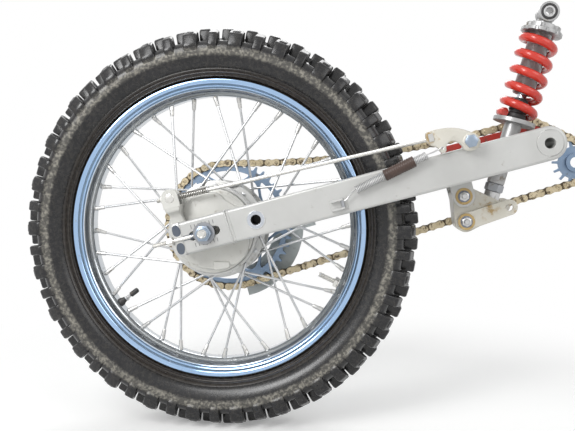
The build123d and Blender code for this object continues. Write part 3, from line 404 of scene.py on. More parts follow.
# %% Finishes of the solids
SOLID_LOOKS = {
    "silver_paint": "arm_left arm_right axle_bracket_left axle_bracket_right bridge pivot_tube"
                    " crank_boss end_caps spring_lug",
    "guard_white": "chain_guard",
    "hub_paint": "hub",
    "panel_paint": "brake_panel brake_lever",
    "cream_casting": "brake_crank rocker link_bars",
    "plated_steel": "adjusters axle axle_nuts spacers brake_cam rod_pin rod_nut link_pins"
                    " shock_lock_nut shock_clevis rim_lock rod_spring return_spring brake_rod",
    "spoke_zinc": "spokes_left spokes_right",
    "nipple_nickel": "nipples",
    "sprocket_steel": "sprocket drive_sprocket",
    "chain_tan": "chain",
    "ring_chrome": "stand_rings rim shock_shaft",
    "red_paint": "shock_spring",
    "red_moulding": "chain_slider",
    "shock_alloy": "shock_body preload_rings shock_eye spring_seat",
    "black_rubber": "tyre valve_stem",
    "brown_sleeve": "spring_sleeve",
}
for look_name, node_names in SOLID_LOOKS.items():
    for node_name in node_names.split():
        for material_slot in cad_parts[node_name].material_slots:
            material_slot.material = looks[look_name]
dressed = sum(len(names.split()) for names in SOLID_LOOKS.values())
print(dressed, "of", len(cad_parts), "solids have a finish")

# %% [markdown]
# ## Surfaces from numbers
# Most new pieces are one of three kinds: a closed profile turned about an axis, a round bar
# along a path, or a flat outline with thickness. Each is worked out as a whole array of points
# and placed as many times as the real object has it, so a hundred links cost one calculation.
# Such a form is an array of points and a list of faces, and a piece is made from a few forms.

# %% Mesh helpers
ANY_SIDE = np.array((0.13, 0.2, 1.0))


def new_piece(name, look, slot, forms, replaced=(), body="swingarm", sharp_angle=35.0):
    """A finished object from forms: smooth but for edges sharper than the angle, faces outwards.

    A form is its points in millimetres, (n, 3) or (copies, n, 3), and faces that number them.
    """
    points, faces, count = [], [], 0
    for form_points, form_faces in forms:
        for copy in form_points.reshape(-1, *form_points.shape[-2:]):
            faces.extend([[corner + count for corner in face] for face in form_faces])
            points.append(copy)
            count += len(copy)
    mesh = bpy.data.meshes.new(name)
    mesh.from_pydata((np.concatenate(points) * MM).tolist(), [], faces)
    work = bmesh.new()
    work.from_mesh(mesh)
    bmesh.ops.recalc_face_normals(work, faces=work.faces)
    work.to_mesh(mesh)
    work.free()
    mesh.shade_smooth()
    mesh.set_sharp_from_angle(angle=np.radians(sharp_angle))
    mesh.materials.append(looks[look])
    piece = placed(name, mesh)
    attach(piece, body)
    if replaced:
        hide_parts(*replaced)
    print(name, "on", body, "with", sum(len(face) - 2 for face in faces), "triangles")


def grid_faces(rows, columns, close_rows=False):
    """Four-cornered faces of a grid of points counted row by row, each row joined round."""
    row = np.arange(rows if close_rows else rows - 1)[:, None]
    column = np.arange(columns)[None]
    next_row, next_column = (row + 1) % rows, (column + 1) % columns
    corners = np.stack(np.broadcast_arrays(
        row * columns + column,
        row * columns + next_column,
        next_row * columns + next_column,
        next_row * columns + column,
    ), axis=-1)
    return corners.reshape(-1, 4).tolist()


def capped(rows, columns):
    """Faces of a tube of rows of points, with one flat face over each end."""
    last = (rows - 1) * columns
    caps = [list(range(columns))[::-1], list(range(last, last + columns))]
    return grid_faces(rows, columns) + caps


def unit(vectors):
    """Vectors scaled to a length of 1."""
    vectors = np.asarray(vectors, dtype=float)
    return vectors / np.linalg.norm(vectors, axis=-1, keepdims=True)


def side_pair(direction, hint=ANY_SIDE):
    """Two unit vectors at right angles to a direction and to each other, the first also to the hint."""
    first = unit(np.cross(direction, hint))
    return first, unit(np.cross(first, direction))


def steps(count):
    """Angles of equal steps once round, in radians."""
    return np.arange(count) * 2 * np.pi / count


def around(turn, first, second):
    """Directions cos t * first + sin t * second, one for each angle."""
    return np.cos(turn)[..., None] * first + np.sin(turn)[..., None] * second


def radial(angle):
    """Unit vectors from the axle at angles in the wheel's plane."""
    return around(np.asarray(angle, dtype=float), FORWARD, UPWARD)


def flat_points(reaches, angles):
    """Points in a plane at distances and angles from its origin."""
    return np.asarray(reaches)[..., None] * around(angles, *np.eye(2))


def turned(profile, centres, axes, corners=24):
    """Bodies of revolution: every (distance along the axis, radius) of the profile becomes a ring.

    A point is centre + distance * axis + radius * (cos t * first + sin t * second), where the two
    side vectors stand square on the axis and t runs round in equal steps.
    """
    profile = np.asarray(profile, dtype=float)[:, :, None]
    centres = np.atleast_2d(np.asarray(centres, dtype=float))
    axes = np.broadcast_to(unit(np.atleast_2d(axes)), centres.shape)
    first, second = side_pair(axes)
    ring = around(steps(corners), first[:, None, None], second[:, None, None])
    spine = centres[:, None] + profile[:, 0] * axes[:, None]
    points = profile[:, 1, :, None] * ring + spine[:, :, None]
    return points.reshape(len(centres), -1, 3), capped(len(profile), corners)


def turned_ring(profile, centre, axis, corners=32):
    """A ring of revolution from a closed profile of (distance along the axis, radius)."""
    points, _ = turned(profile, centre, axis, corners)
    return points, grid_faces(len(profile), corners, close_rows=True)


def bar(path, radius, hint, corners=8):
    """A round bar: at each point of the path stands a circle square to the path's own direction."""
    path = np.asarray(path, dtype=float)
    first, second = side_pair(unit(np.gradient(path, axis=-2)), hint)
    radius = np.broadcast_to(radius, path.shape[:-1])[..., None, None]
    ring = around(steps(corners), first[..., None, :], second[..., None, :])
    points = path[..., None, :] + radius * ring
    rows = path.shape[-2]
    return points.reshape(*path.shape[:-2], rows * corners, 3), capped(rows, corners)


def slab(outline, levels, origin, right, up, out):
    """An outline with thickness: copied to several levels, each (height, inset), and closed at both ends.

    A point is origin + x * right + y * up + height * out, the inset moving it along the outline's
    own inward normal, so that two close levels with different insets round an edge.
    """
    outline = np.asarray(outline, dtype=float)
    following = np.roll(outline, -1, axis=0)
    tangent = unit(unit(following - outline) + unit(outline - np.roll(outline, 1, axis=0)))
    area = np.sum(outline[:, 0] * following[:, 1] - following[:, 0] * outline[:, 1])
    inward = np.stack((-tangent[:, 1], tangent[:, 0]), axis=-1) * np.sign(area)
    rows = []
    for height, inset in levels:
        flat = outline + inset * inward
        rows.append(np.asarray(origin) + flat[:, :1] * right + flat[:, 1:] * up + height * out)
    return np.concatenate(rows), capped(len(levels), len(outline))


def side_slab(outline, levels, origin, side=-1):
    """A slab whose outline lies level in the side view, thick towards the left (1) or right (-1)."""
    return slab(outline, levels, origin, FORWARD, UPWARD, side * LEFTWARD)


def arm_slab(outline, levels, place, side=-1):
    """The same for a place on the arm, the outline along and over the arm."""
    return slab(outline, levels, on_arm(*place), along_arm, over_arm, side * LEFTWARD)


def oblong(left, right, low, high):
    """Outline of a rectangle."""
    return (left, low), (right, low), (right, high), (left, high)


def rounded_oblong(half_width, half_height, corner, step):
    """Outline of a rectangle about its middle, its corners arcs with a point every few degrees."""
    turn = np.radians(np.arange(0, 91, step))
    quarter = (half_width - corner, half_height - corner) + flat_points(corner, turn)
    half = np.concatenate((quarter, quarter[::-1] * (-1, 1)))
    return np.concatenate((half, half[::-1] * (1, -1)))


def lobed(outline, times=2):
    """An outline with its corners cut: every side keeps its middle half, as often as asked."""
    outline = np.asarray(outline, dtype=float)
    for _ in range(times):
        following = np.roll(outline, -1, axis=0)
        cut = (0.75 * outline + 0.25 * following, 0.25 * outline + 0.75 * following)
        outline = np.stack(cut, axis=1).reshape(-1, 2)
    return outline


def stood(points, places, angles):
    """Copies of a form about the origin: each turned in the side view by its angle, then moved."""
    angles = angles[:, None]
    x = np.cos(angles) * points[:, 0] - np.sin(angles) * points[:, 2]
    z = np.sin(angles) * points[:, 0] + np.cos(angles) * points[:, 2]
    y = np.broadcast_to(points[:, 1], x.shape)
    return np.stack((x, y, z), axis=-1) + places[..., None, :]


print("helpers ready")

# %% [markdown]
# ## Tyre
# A trail tyre is a smooth rubber carcass with separate knobs, moulded in one. The carcass is a
# closed profile turned about the axle. The knobs repeat 52 times round, and each is a small
# outline in the section plane given a thickness along the tread, with its ends drawn in a
# little so that the edges look moulded. Wide and narrow knobs take turns on the shoulders, and
# single and paired knobs on the crown, each about half a row further round than its neighbours
# on the shoulders.

# %% Tyre carcass
# Columns: radius, half width, from the bead over the sidewall to the middle of the crown.
CARCASS_SIDE = (
    (204.0, 23.4), (216.5, 23.6), (218.5, 25.0), (219.5, 29.5), (221.0, 31.6), (222.4, 30.9), (223.6, 31.6),
    (225.0, 34.4), (226.2, 34.0), (227.6, 36.2), (229.2, 37.4), (230.4, 37.0), (232.4, 39.4), (236.0, 41.8),
    (240.0, 43.8), (245.0, 45.6), (250.0, 46.6), (255.0, 47.0), (259.0, 46.6), (263.0, 45.0), (267.0, 41.5),
    (269.5, 36.0), (271.0, 28.0), (272.0, 18.0), (272.5, 8.0),
)
CARCASS_INSIDE = ((205.0, 17.0), (216.0, 15.0), (230.0, 26.0), (250.0, 32.0), (262.0, 20.0))


def both_sides(outside, inside):
    """A wheel ring's closed profile from its left half: all of the outside, then back inside."""
    outside, inside = np.array(outside), np.array(inside)
    right = (1, -1)
    return np.concatenate((outside * right, outside[::-1], inside, inside[::-1] * right))[:, ::-1]


tyre = [turned_ring(both_sides(CARCASS_SIDE, CARCASS_INSIDE), wheel_centre, LEFTWARD, corners=208)]

# %% Tyre knobs
KNOB_ROWS = 52
# Columns: radius, distance from the middle of the tread.
SHOULDER_KNOB = ((253, 43), (255.5, 47.4), (260, 49.2), (265, 49.4), (267.4, 48.2), (276.5, 46.6),
                 (278.6, 45.0), (279.8, 42), (284.8, 31), (284.2, 28.4), (281.5, 27), (262, 26))
SINGLE_KNOB = ((264, -19), (286, -17.5), (288.6, -16.2), (289.8, -13), (289.8, 13), (288.6, 16.2),
               (286, 17.5), (264, 19))
PAIRED_KNOB = ((264, 6.5), (286.5, 7.4), (289, 8.6), (289.8, 11), (288.8, 20), (287.2, 22.8),
               (284.4, 24), (264, 25))
KNOB_CAP = ((278, 31.5), (284.6, 32.2), (285.0, 33.6), (282.2, 39.8), (281.0, 41.2), (276, 41.6))


def knobs(outline, length, angles, side=1):
    """A knob's outline in the (radius, width) plane, as thick as the knob is long, at each angle."""
    half = length / 2
    levels = ((-half - 0.8, 2.2), (-half + 0.2, 0.5), (-half + 1.6, 0.0), (half - 1.6, 0.0),
              (half - 0.2, 0.5), (half + 0.8, 2.2))
    points, faces = slab(np.array(outline) * (1, side), levels, (0, 0, 0), FORWARD, LEFTWARD, UPWARD)
    return stood(points, wheel_centre, angles), faces


half_row = np.pi / KNOB_ROWS
wide_rows, narrow_rows = steps(KNOB_ROWS)[0::2], steps(KNOB_ROWS)[1::2]
for side in (1, -1):
    tyre += [knobs(SHOULDER_KNOB, 19, wide_rows, side),
             knobs(SHOULDER_KNOB, 12.5, narrow_rows, side),
             knobs(KNOB_CAP, 11, wide_rows, side),
             knobs(PAIRED_KNOB, 15, narrow_rows + half_row * 0.92, side)]
tyre.append(knobs(SINGLE_KNOB, 15, wide_rows + half_row * 1.04))

# %% [markdown]
# ### Rubber that has been ridden
# The rubber is black and a little shiny on the sidewall, and brown near the rim. Under the knobs
# a mottled cream band is partly dust where the dirt collects and partly a painted sheen of light
# on the sidewall just under the knobs. The bands follow the radius from the axle, broken up by noise.

# %% Tyre finish
RIB_TURNS = 540.0
looks["ridden_rubber"], tree, shader, place = new_look("ridden_rubber")
polar = about_wheel(tree, place)
fine_dirt = dirty(tree, place, 210.0, 0.30)
# Cream band under the knobs: partly dust, partly a painted sheen
dust_and_sheen_band = between(tree, polar["Radius"], 0.2505, 0.2555, 0.0055)
brown_band = between(tree, polar["Radius"], 0.214, 0.227, 0.005)
rubber = mix_colour(tree, mottled(tree, place, 40.0), (0.004, 0.004, 0.005), (0.012, 0.012, 0.014))
browned = mix_colour(tree, scaled(tree, brown_band, 0.5), rubber, (0.042, 0.032, 0.024))
dust_and_sheen = scaled(tree, dust_and_sheen_band, remapped(tree, fine_dirt, 0.18, 0.72))
dusted_and_sheened = mix_colour(tree, dust_and_sheen, browned, (0.36, 0.34, 0.29))
ribs = reckon(tree, "SINE", scaled(tree, polar["Turn"], RIB_TURNS))
rib_height = scaled(tree, scaled(tree, ribs, brown_band), 0.25)
fill(tree, shader, {
    "Base Color": mix_colour(tree, scaled(tree, fine_dirt, 0.06), dusted_and_sheened, (0.30, 0.27, 0.22)),
    "Roughness": remapped(tree, dust_and_sheen, 0.24, 0.5),
    "Normal": bumped(tree, reckon(tree, "ADD", rib_height, noise(tree, place, 700.0, 4.0)), 0.14),
})
new_piece("knobby_tyre", "ridden_rubber", "tyre", tyre, ("tyre",), "wheel", sharp_angle=40)

# %% [markdown]
# ## Rim
# The rim is rolled from one strip of steel: a curled flange that holds the tyre, a step down to
# the well, and the well itself where the nipples sit. One closed profile with rounded corners,
# turned in many steps, gives the long clean reflections of chrome. Its colour holds painted
# light: the chrome is tinted blue-grey and the flange's band is a painted reflection of the sky,
# bluer than the rest, while a dark line at the step and a grey band over the well are painted shade.

# %% Rim
# Columns: radius, half width; the outside from the flange to the well, then back beside the tyre.
RIM_SIDE = ((217.2, 28.8), (216.6, 30.2), (215.0, 30.9), (212.6, 31.0), (210.4, 30.4), (209.0, 29.2),
            (207.6, 27.0), (205.4, 24.6), (203.0, 22.9), (201.2, 21.6), (200.6, 20.0), (200.4, 18.6),
            (199.4, 17.8), (199.3, 16.6), (200.1, 15.6), (199.6, 14.2), (197.4, 12.0), (195.0, 10.4),
            (193.7, 8.6), (193.5, 5.0))
RIM_TYRE_SIDE = ((216.4, 27.8), (211.0, 27.4), (206.0, 26.0), (203.5, 23.6), (203.4, 16.0), (198.0, 10.4),
                 (196.6, 8.0))
rim = turned_ring(both_sides(RIM_SIDE, RIM_TYRE_SIDE), wheel_centre, LEFTWARD, corners=256)

looks["rim_chrome"], tree, shader, place = new_look("rim_chrome")
polar = about_wheel(tree, place)
specks = dirty(tree, place, 160.0, 0.16, 0.12)
# Chrome base tinted blue-grey: a painted reflection of the sky
colour = mix_colour(tree, mottled(tree, place, 9.0), (0.58, 0.64, 0.70), (0.76, 0.79, 0.82))
# Painted light on the chrome: a sky-blue painted reflection on the flange, a dark painted shade line at the
# step and grey painted shade over the well.
# Columns: lower and upper radius of a band, how softly it ends, how strong it is, its colour.
RIM_PAINTED_LIGHT_BANDS = (
    (0.2035, 0.2158, 0.0010, 0.72, (0.26, 0.46, 0.76)),
    (0.1995, 0.2012, 0.0008, 0.7, (0.14, 0.17, 0.22)),
    (0.190, 0.2005, 0.0015, 0.5, (0.42, 0.43, 0.44)),
)
for low, high, soft, strength, tone in RIM_PAINTED_LIGHT_BANDS:
    painted_band = between(tree, polar["Radius"], low, high, soft)
    colour = mix_colour(tree, scaled(tree, painted_band, strength), colour, tone)
fill(tree, shader, {
    "Base Color": mix_colour(tree, scaled(tree, specks, 0.5), colour, (0.22, 0.19, 0.15)),
    "Metallic": 1.0,
    "Roughness": remapped(tree, specks, 0.10, 0.45),
})
new_piece("rolled_rim", "rim_chrome", "rim", [rim], ("rim",), "wheel", sharp_angle=60)

# %% [markdown]
# ## Spokes and nipples
# Thirty-six spokes cross in two layers on each side. A spoke is a wire that hooks through a
# hole in the hub's flange: its head lies on one face, the elbow turns through the hole, and
# the run leaves from the other face to its nipple in the rim. The path is one array for all
# nine spokes of a family, and a circle carried along it gives the wires.

# %% Spokes
SPOKE_RADIUS, SPOKE_CIRCLE, SPOKE_LEAD, FAMILY_SIZE = 1.75, 64.5, np.radians(40), 9
WELL_RADIUS, NIPPLE_SPREAD, NIPPLE_LENGTH = 193.5, 4.0, 15.0
FLANGE_MIDDLE, FLANGE_REACH, HEAD_REACH, ELBOW = 21.96, 4.35, 8.4, 3.4
SPOKE_HEAD = ((-0.2, 1.6), (0.2, 2.8), (1.0, 3.2), (1.6, 2.6), (1.9, 1.2))
# Columns: side of the wheel, angle at the rim in degrees, lean, face of the flange.
SPOKE_FAMILIES = ((-1, 31.7, 1, 1), (-1, 11.7, -1, -1), (1, 21.7, 1, 1), (1, 1.7, -1, -1))


def spoke_family(side, rim_angle, lean, face):
    """Elbow, rim end and unit run of a family's spokes, each array of shape (9, 3)."""
    angle = np.radians(rim_angle) + steps(FAMILY_SIZE)
    elbow = wheel_centre + SPOKE_CIRCLE * radial(angle + lean * SPOKE_LEAD)
    elbow = elbow + side * (FLANGE_MIDDLE + face * FLANGE_REACH) * LEFTWARD
    rim_end = wheel_centre + WELL_RADIUS * radial(angle) + side * NIPPLE_SPREAD * LEFTWARD
    return elbow, rim_end, unit(rim_end - elbow)


def spoke_forms(side, rim_angle, lean, face):
    """Wires and heads of a family."""
    elbow, rim_end, run = spoke_family(side, rim_angle, lean, face)
    into_flange = -side * face * LEFTWARD
    bend = np.linspace(0, np.pi / 2, 5)
    bend_centre = elbow + ELBOW * (run + into_flange)
    bend = bend_centre[:, None] - ELBOW * around(bend, run[:, None], into_flange)
    head_end = elbow + into_flange * HEAD_REACH
    run_end = rim_end - run * (NIPPLE_LENGTH - 2)
    path = np.concatenate((head_end[:, None], bend, run_end[:, None]), axis=1)
    wires = bar(path, SPOKE_RADIUS, np.cross(run, LEFTWARD)[:, None], corners=12)
    return wires, turned(SPOKE_HEAD, head_end - into_flange, into_flange, corners=12)


for side, word in ((-1, "right"), (1, "left")):
    families = [spoke_forms(*family) for family in SPOKE_FAMILIES if family[0] == side]
    forms = [form for family in families for form in family]
    new_piece(f"spoke_wires_{word}", "spoke_zinc", "spokes", forms, (f"spokes_{word}",), "wheel")

# %% Nipples
NIPPLE_PROFILE = ((0.0, 1.9), (0.3, 2.5), (2.0, 2.9), (8.8, 3.1), (9.2, 3.5), (15.2, 3.6), (15.6, 3.0))
forms = []
for family in SPOKE_FAMILIES:
    _, rim_end, run = spoke_family(*family)
    forms.append(turned(NIPPLE_PROFILE, rim_end - run * NIPPLE_LENGTH, run, corners=12))
new_piece("spoke_nipples", "nipple_nickel", "nipples", forms, ("nipples",), "wheel")

# %% [markdown]
# ## Roller chain
# A roller chain is a row of pins 12.7 mm apart, joined by pairs of figure-8 plates that lie
# inside and outside by turns. The loop goes over the rear sprocket, sags onto the slider, runs
# over the pivot to the drive sprocket and comes back underneath. It is a short list of arcs
# joined by straight runs: where each pin stands follows from its count.

# %% Where the pins stand
PITCH, CHAIN_SPREAD = 12.7, 62.0
SLIDER_LIFT, SAG_RADIUS = 38.4, 1500.0
WHEEL_TEETH, DRIVE_TEETH = 48, 14
drive_low, drive_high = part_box("drive_sprocket")
drive_centre = np.array((drive_low + drive_high) / 2) / MM * (FORWARD + UPWARD)


def pitch_radius(teeth):
    """Radius of the circle through the pins that lie on a sprocket."""
    return PITCH / (2 * np.sin(np.pi / teeth))


def side_angle(vector):
    """Angle of a vector in the side view, and its length there."""
    return np.arctan2(vector[2], vector[0]), np.hypot(vector[0], vector[2])


wheel_pitch, drive_pitch = pitch_radius(WHEEL_TEETH), pitch_radius(DRIVE_TEETH)
sag_reach = np.sqrt((wheel_pitch + SAG_RADIUS) ** 2 - (SLIDER_LIFT + SAG_RADIUS) ** 2)
sag_centre = on_arm(sag_reach, SLIDER_LIFT + SAG_RADIUS, 0.0)
sag_angle, _ = side_angle(sag_centre - wheel_centre)
arm_normal = np.pi / 2 + ARM_DROOP
drive_angle, drive_reach = side_angle(drive_centre)
leave_crown = drive_angle + np.arccos((SLIDER_LIFT - drive_pitch) / drive_reach)
span_angle, span_reach = side_angle(drive_centre - wheel_centre)
leave_drive = span_angle - np.arccos((wheel_pitch - drive_pitch) / span_reach)
wheel_step, drive_step = 2 * np.pi / WHEEL_TEETH, 2 * np.pi / DRIVE_TEETH
# Columns: centre, radius, first angle, sweep, angle of one pitch.
ARCS = (
    (wheel_centre, wheel_pitch, np.pi, sag_angle - np.pi, wheel_step),
    (sag_centre, SAG_RADIUS, sag_angle + np.pi, arm_normal - sag_angle, PITCH / SAG_RADIUS),
    (np.zeros(3), SLIDER_LIFT, arm_normal, leave_crown - arm_normal, PITCH / SLIDER_LIFT),
    (drive_centre, drive_pitch, leave_crown, leave_drive - leave_crown, drive_step),
    (wheel_centre, wheel_pitch, leave_drive + 2 * np.pi, -np.pi - leave_drive, wheel_step),
)


def run_parts(begins, length):
    """How far along a run, from 0 to 1, the pins stand whose counts fall in it."""
    return (np.arange(np.ceil(begins), begins + length) - begins) / length


found, covered = [], 0.0
for (centre, radius, first, sweep, step), following in zip(ARCS, ARCS[1:] + ARCS[:1]):
    arc = abs(sweep) / step
    found.append(centre + radius * radial(first + sweep * run_parts(covered, arc)))
    covered += arc
    leaves = centre + radius * radial(first + sweep)
    straight = following[0] + following[1] * radial(following[2]) - leaves
    length = np.linalg.norm(straight) / PITCH
    found.append(leaves + run_parts(covered, length)[:, None] * straight)
    covered += length
pins = np.concatenate(found)[:round(covered)] + CHAIN_SPREAD * LEFTWARD
links = np.roll(pins, -1, axis=0) - pins
link_lengths = np.linalg.norm(links, axis=1)
print(len(pins), "pins,", link_lengths.min().round(2), "to", link_lengths.max().round(2), "mm apart")

# %% Plates, rollers and pin heads
PLATE_RADIUS, WAIST_HALF_WIDTH = 5.7, 4.3
end_arc = (PITCH / 2, 0) + flat_points(PLATE_RADIUS, np.radians(np.linspace(-118, 118, 11)))
waist = np.array(((0.0, WAIST_HALF_WIDTH),))
plate_outline = np.concatenate((end_arc, waist, -end_arc, -waist))
middles = pins + links / 2
link_angles = np.arctan2(links[:, 2], links[:, 0])


def plates(low, high, start):
    """Two plates on every second link, mirrored about the chain's middle, rounded at their faces."""
    levels = ((low, 0.35), (low + 0.3, 0.0), (high - 0.35, 0.0), (high, 0.4))
    for side in (-1, 1):
        points, faces = side_slab(plate_outline, levels, (0, 0, 0), side)
        yield stood(points, middles[start::2], link_angles[start::2]), faces


PIN_HEAD, ROLLER = ((6.8, 2.3), (7.5, 2.2), (7.9, 1.6)), ((-3.4, 3.2), (-3.3, 3.9), (3.3, 3.9), (3.4, 3.2))
heads = [turned(PIN_HEAD, pins, side * LEFTWARD, corners=10) for side in (-1, 1)]
new_piece("chain_inner_plates", "chain_brown", "chain_steel", plates(3.7, 5.2, 0))
new_piece("chain_plates", "chain_tan", "chain_steel", [*plates(5.4, 7.0, 1), *heads], ("chain",))
new_piece("chain_rollers", "dark_steel", "chain_steel", [turned(ROLLER, pins, LEFTWARD, corners=14)])

# %% [markdown]
# ## Springs
# A coil spring is a wire on a helix. The path turns at a steady rate while it climbs, and the
# climb eases off in the first and last turn, where a real compression spring is closed and
# ground flat. The same helper winds the big red shock spring, the fine one on the brake rod
# and the return spring of the crank.

# %% Coil helper
CLOSED_RATE = 0.18


def coil_path(start, end, radius, turns, per_turn, closed_turns):
    """Helix from start to end: centre line + radius * (cos t * first + sin t * second).

    The height follows the turn, but lags behind it in the closed turns at both ends.
    """
    axis = end - start
    part = np.linspace(0, 1, int(turns * per_turn) + 1)
    turn = 2 * np.pi * turns * part
    rate = np.clip(np.minimum(part, 1 - part) * turns / closed_turns, CLOSED_RATE, 1.0)
    climb = np.concatenate(((0.0,), np.cumsum(rate[1:] + rate[:-1])))
    return start + climb[:, None] / climb[-1] * axis + radius * around(turn, *side_pair(unit(axis)))


# %% Shock spring
SHOCK_LEAN, SHOCK_FOOT = np.radians(15.7), (382.3, -67.9)
SPRING_START, SPRING_END, SPRING_WIRE, SPRING_MIDDLE = 128.0, 250.0, 6.0, 22.0
shock_run = np.sin(SHOCK_LEAN) * FORWARD + np.cos(SHOCK_LEAN) * UPWARD
shock_foot = on_arm(*SHOCK_FOOT, 0.0)


def up_shock(height):
    """Point on the shock's axis at a height over its lower eye."""
    return shock_foot + height * shock_run


path = coil_path(up_shock(SPRING_START + SPRING_WIRE), up_shock(SPRING_END - SPRING_WIRE),
                 SPRING_MIDDLE, 5.5, per_turn=36, closed_turns=0.7)
new_piece("shock_coil", "red_paint", "spring_red", [bar(path, SPRING_WIRE, shock_run, corners=16)],
          ("shock_spring",))

# %% [markdown]
# ## Rounded edges on the solids
# A CAD solid ends in knife edges, and nothing on a real machine does: a casting has radii, cut
# plate is broken with a file, and paint fills a corner. Each solid in the table below gets a copy
# whose corners are merged and whose flat triangles are joined into faces. The box tubes of the
# arm are first rounded along their outline, as drawn tube is. A bevel of a chosen width then
# rounds every sharp edge, with normals that keep the flat faces flat.

# %% Softened copies
TUBE_CORNER, BRACKET_JOINT, STAND_BORE = 4.0, 35, 73
BORE_CLEARANCE, SLOT_CLEARANCE = 20, 8
MERGE_METRES, FLAT_ANGLE, SHARP_ANGLE = 2e-6, np.radians(0.4), np.radians(30)


def tube_edges(work):
    """Edges where a side of the arm meets its top, bottom or end, clear of bores, slot and joint."""
    found = []
    for edge in work.edges:
        if len(edge.link_faces) != 2:
            continue
        flatter, steeper = sorted(abs(face.normal.y) for face in edge.link_faces)
        middle = np.array((edge.verts[0].co + edge.verts[1].co) / 2) / MM - wheel_centre
        along, over = middle @ along_arm, middle @ over_arm
        to_bores = (np.hypot(along - bore, over) for bore in (STAND_BORE, ARM_LENGTH))
        at_bore = min(to_bores) < BORE_CLEARANCE
        at_slot = abs(over) < SLOT_CLEARANCE and along < BRACKET_JOINT + 1
        at_joint = abs(along - BRACKET_JOINT) < 0.5
        if flatter < 0.3 and steeper > 0.9 and not (at_bore or at_slot or at_joint):
            found.append(edge)
    return found


def softened(node, width, slot, body="swingarm", tube=False):
    """A rounded copy of a CAD solid, with the solid's finish, shown in the solid's place."""
    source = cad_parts[node]
    mesh = source.data.copy()
    mesh.name = f"soft_{node}"
    mesh.transform(source.matrix_world)
    work = bmesh.new()
    work.from_mesh(mesh)
    bmesh.ops.remove_doubles(work, verts=work.verts, dist=MERGE_METRES)
    bmesh.ops.dissolve_limit(work, angle_limit=FLAT_ANGLE, verts=work.verts, edges=work.edges)
    if tube:
        bmesh.ops.bevel(work, geom=tube_edges(work), offset=TUBE_CORNER * MM, offset_type="OFFSET",
                        segments=5, profile=0.5, affect="EDGES", clamp_overlap=False)
    work.to_mesh(mesh)
    work.free()
    mesh.shade_smooth()
    piece = placed(f"soft_{node}", mesh)
    settled(piece.modifiers.new("rounding", "BEVEL"), width=width * MM, segments=2,
            limit_method="ANGLE", angle_limit=SHARP_ANGLE, use_clamp_overlap=False,
            harden_normals=True)
    piece.modifiers.new("even_normals", "WEIGHTED_NORMAL")
    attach(piece, body)
    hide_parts(node)


# Columns: nodes, width of the rounding, material slot, and for some the body and a tube's outline.
SOFT_SOLIDS = (
    ("arm_right arm_left", 0.8, "arm_paint", "swingarm", True),
    ("axle_bracket_right axle_bracket_left", 0.6, "arm_paint", "swingarm", True),
    ("bridge pivot_tube", 0.8, "arm_paint"),
    ("chain_guard", 0.5, "arm_paint"),
    ("brake_panel", 0.8, "panel_cast"),
    ("rocker", 1.2, "crank_cast"),
    ("link_bars", 0.9, "crank_cast"),
    ("spring_seat", 0.6, "shock_alloy"),
    ("shock_clevis", 0.8, "zinc"),
    ("shock_eye", 0.8, "shock_alloy"),
    ("chain_slider", 1.2, "slider_plastic"),
    ("stand_rings", 0.5, "ring_chrome"),
    ("hub", 0.5, "hub", "wheel"),
    ("drive_sprocket", 0.35, "sprocket", "drive_sprocket"),
)
for nodes, *facts in SOFT_SOLIDS:
    for node in nodes.split():
        softened(node, *facts)
        print(node, "rounded")

# %% [markdown]
# ## Nuts, bolts and threads
# A nut is a hexagonal prism turned on a lathe at its ends: the cone of the lathe cuts the six
# corners back, which leaves the curved line on each flat that makes a nut look like a nut. A
# thread is a row of small ridges. Both are bodies of revolution with one twist each: the
# radius depends on the angle, or it goes up and down along the axis.

# %% Fastener helpers
CONE_SHARE, THREAD_TIP = 0.93, 0.9


def nut(centres, axis, corner_radius, length, start_turn=0.0):
    """Hexagons standing on their centres, their end corners cut by a cone.

    With u the angle from the middle of the nearest side, the wall lies at the radius
    flat / cos(u). The cone starts inside the flat and drops by tan 30 degrees.
    """
    axis, turn = unit(axis), steps(36)
    flat = corner_radius * np.cos(np.pi / 6)
    wall = flat / np.cos((turn + np.pi / 6) % (np.pi / 3) - np.pi / 6)
    cone = np.full_like(wall, CONE_SHARE * flat)
    drop = (wall - cone) * np.tan(np.pi / 6)
    radii = np.stack((cone, wall, wall, cone))
    heights = np.stack((0 * drop, drop, length - drop, length + 0 * drop))
    ring = around(turn + start_turn, *side_pair(axis))
    form = radii[..., None] * ring + heights[..., None] * axis
    return np.atleast_2d(centres)[:, None] + form.reshape(-1, 3), capped(4, 36)


def thread_profile(low, high, radius, pitch=1.0, depth=0.45):
    """Profile of a threaded bar: two rings to a pitch, one on the crest and one in the root."""
    crests = np.arange(low + 1.0, high - 1.0, pitch)
    along = np.stack((crests, crests + pitch / 2), axis=-1).ravel()
    ridges = np.stack((along, np.tile((radius, radius - depth), len(crests))), axis=-1)
    tip = radius - THREAD_TIP
    return np.concatenate((((low, tip),), ridges, ((high, tip),)))


def washer_profile(inner, outer, thickness, edge=0.3):
    """Closed profile of a flat washer with its outer edges rounded."""
    return ((0.0, inner), (0.0, outer - edge), (edge, outer), (thickness - edge, outer),
            (thickness, outer - edge), (thickness, inner))


# %% Axle, its nuts and washers
AXLE_TIP = ((116, 5.0), (117.4, 5.0), (118, 4.4), (117.2, 3.2), (116.4, 0.6))
AXLE_THREAD, AXLE_WASHER = thread_profile(103, 117.4, 6.0), washer_profile(6.2, 15.0, 3.0, 0.5)
NUT_COLLAR = ((107.5, 6.2), (107.5, 8.6), (109.6, 8.5), (110.6, 7.9), (111, 7.3), (111, 6.2))
WASHER_START, NUT_START = 98.0, 101.0
SIDES = ((-1, -LEFTWARD), (1, LEFTWARD))

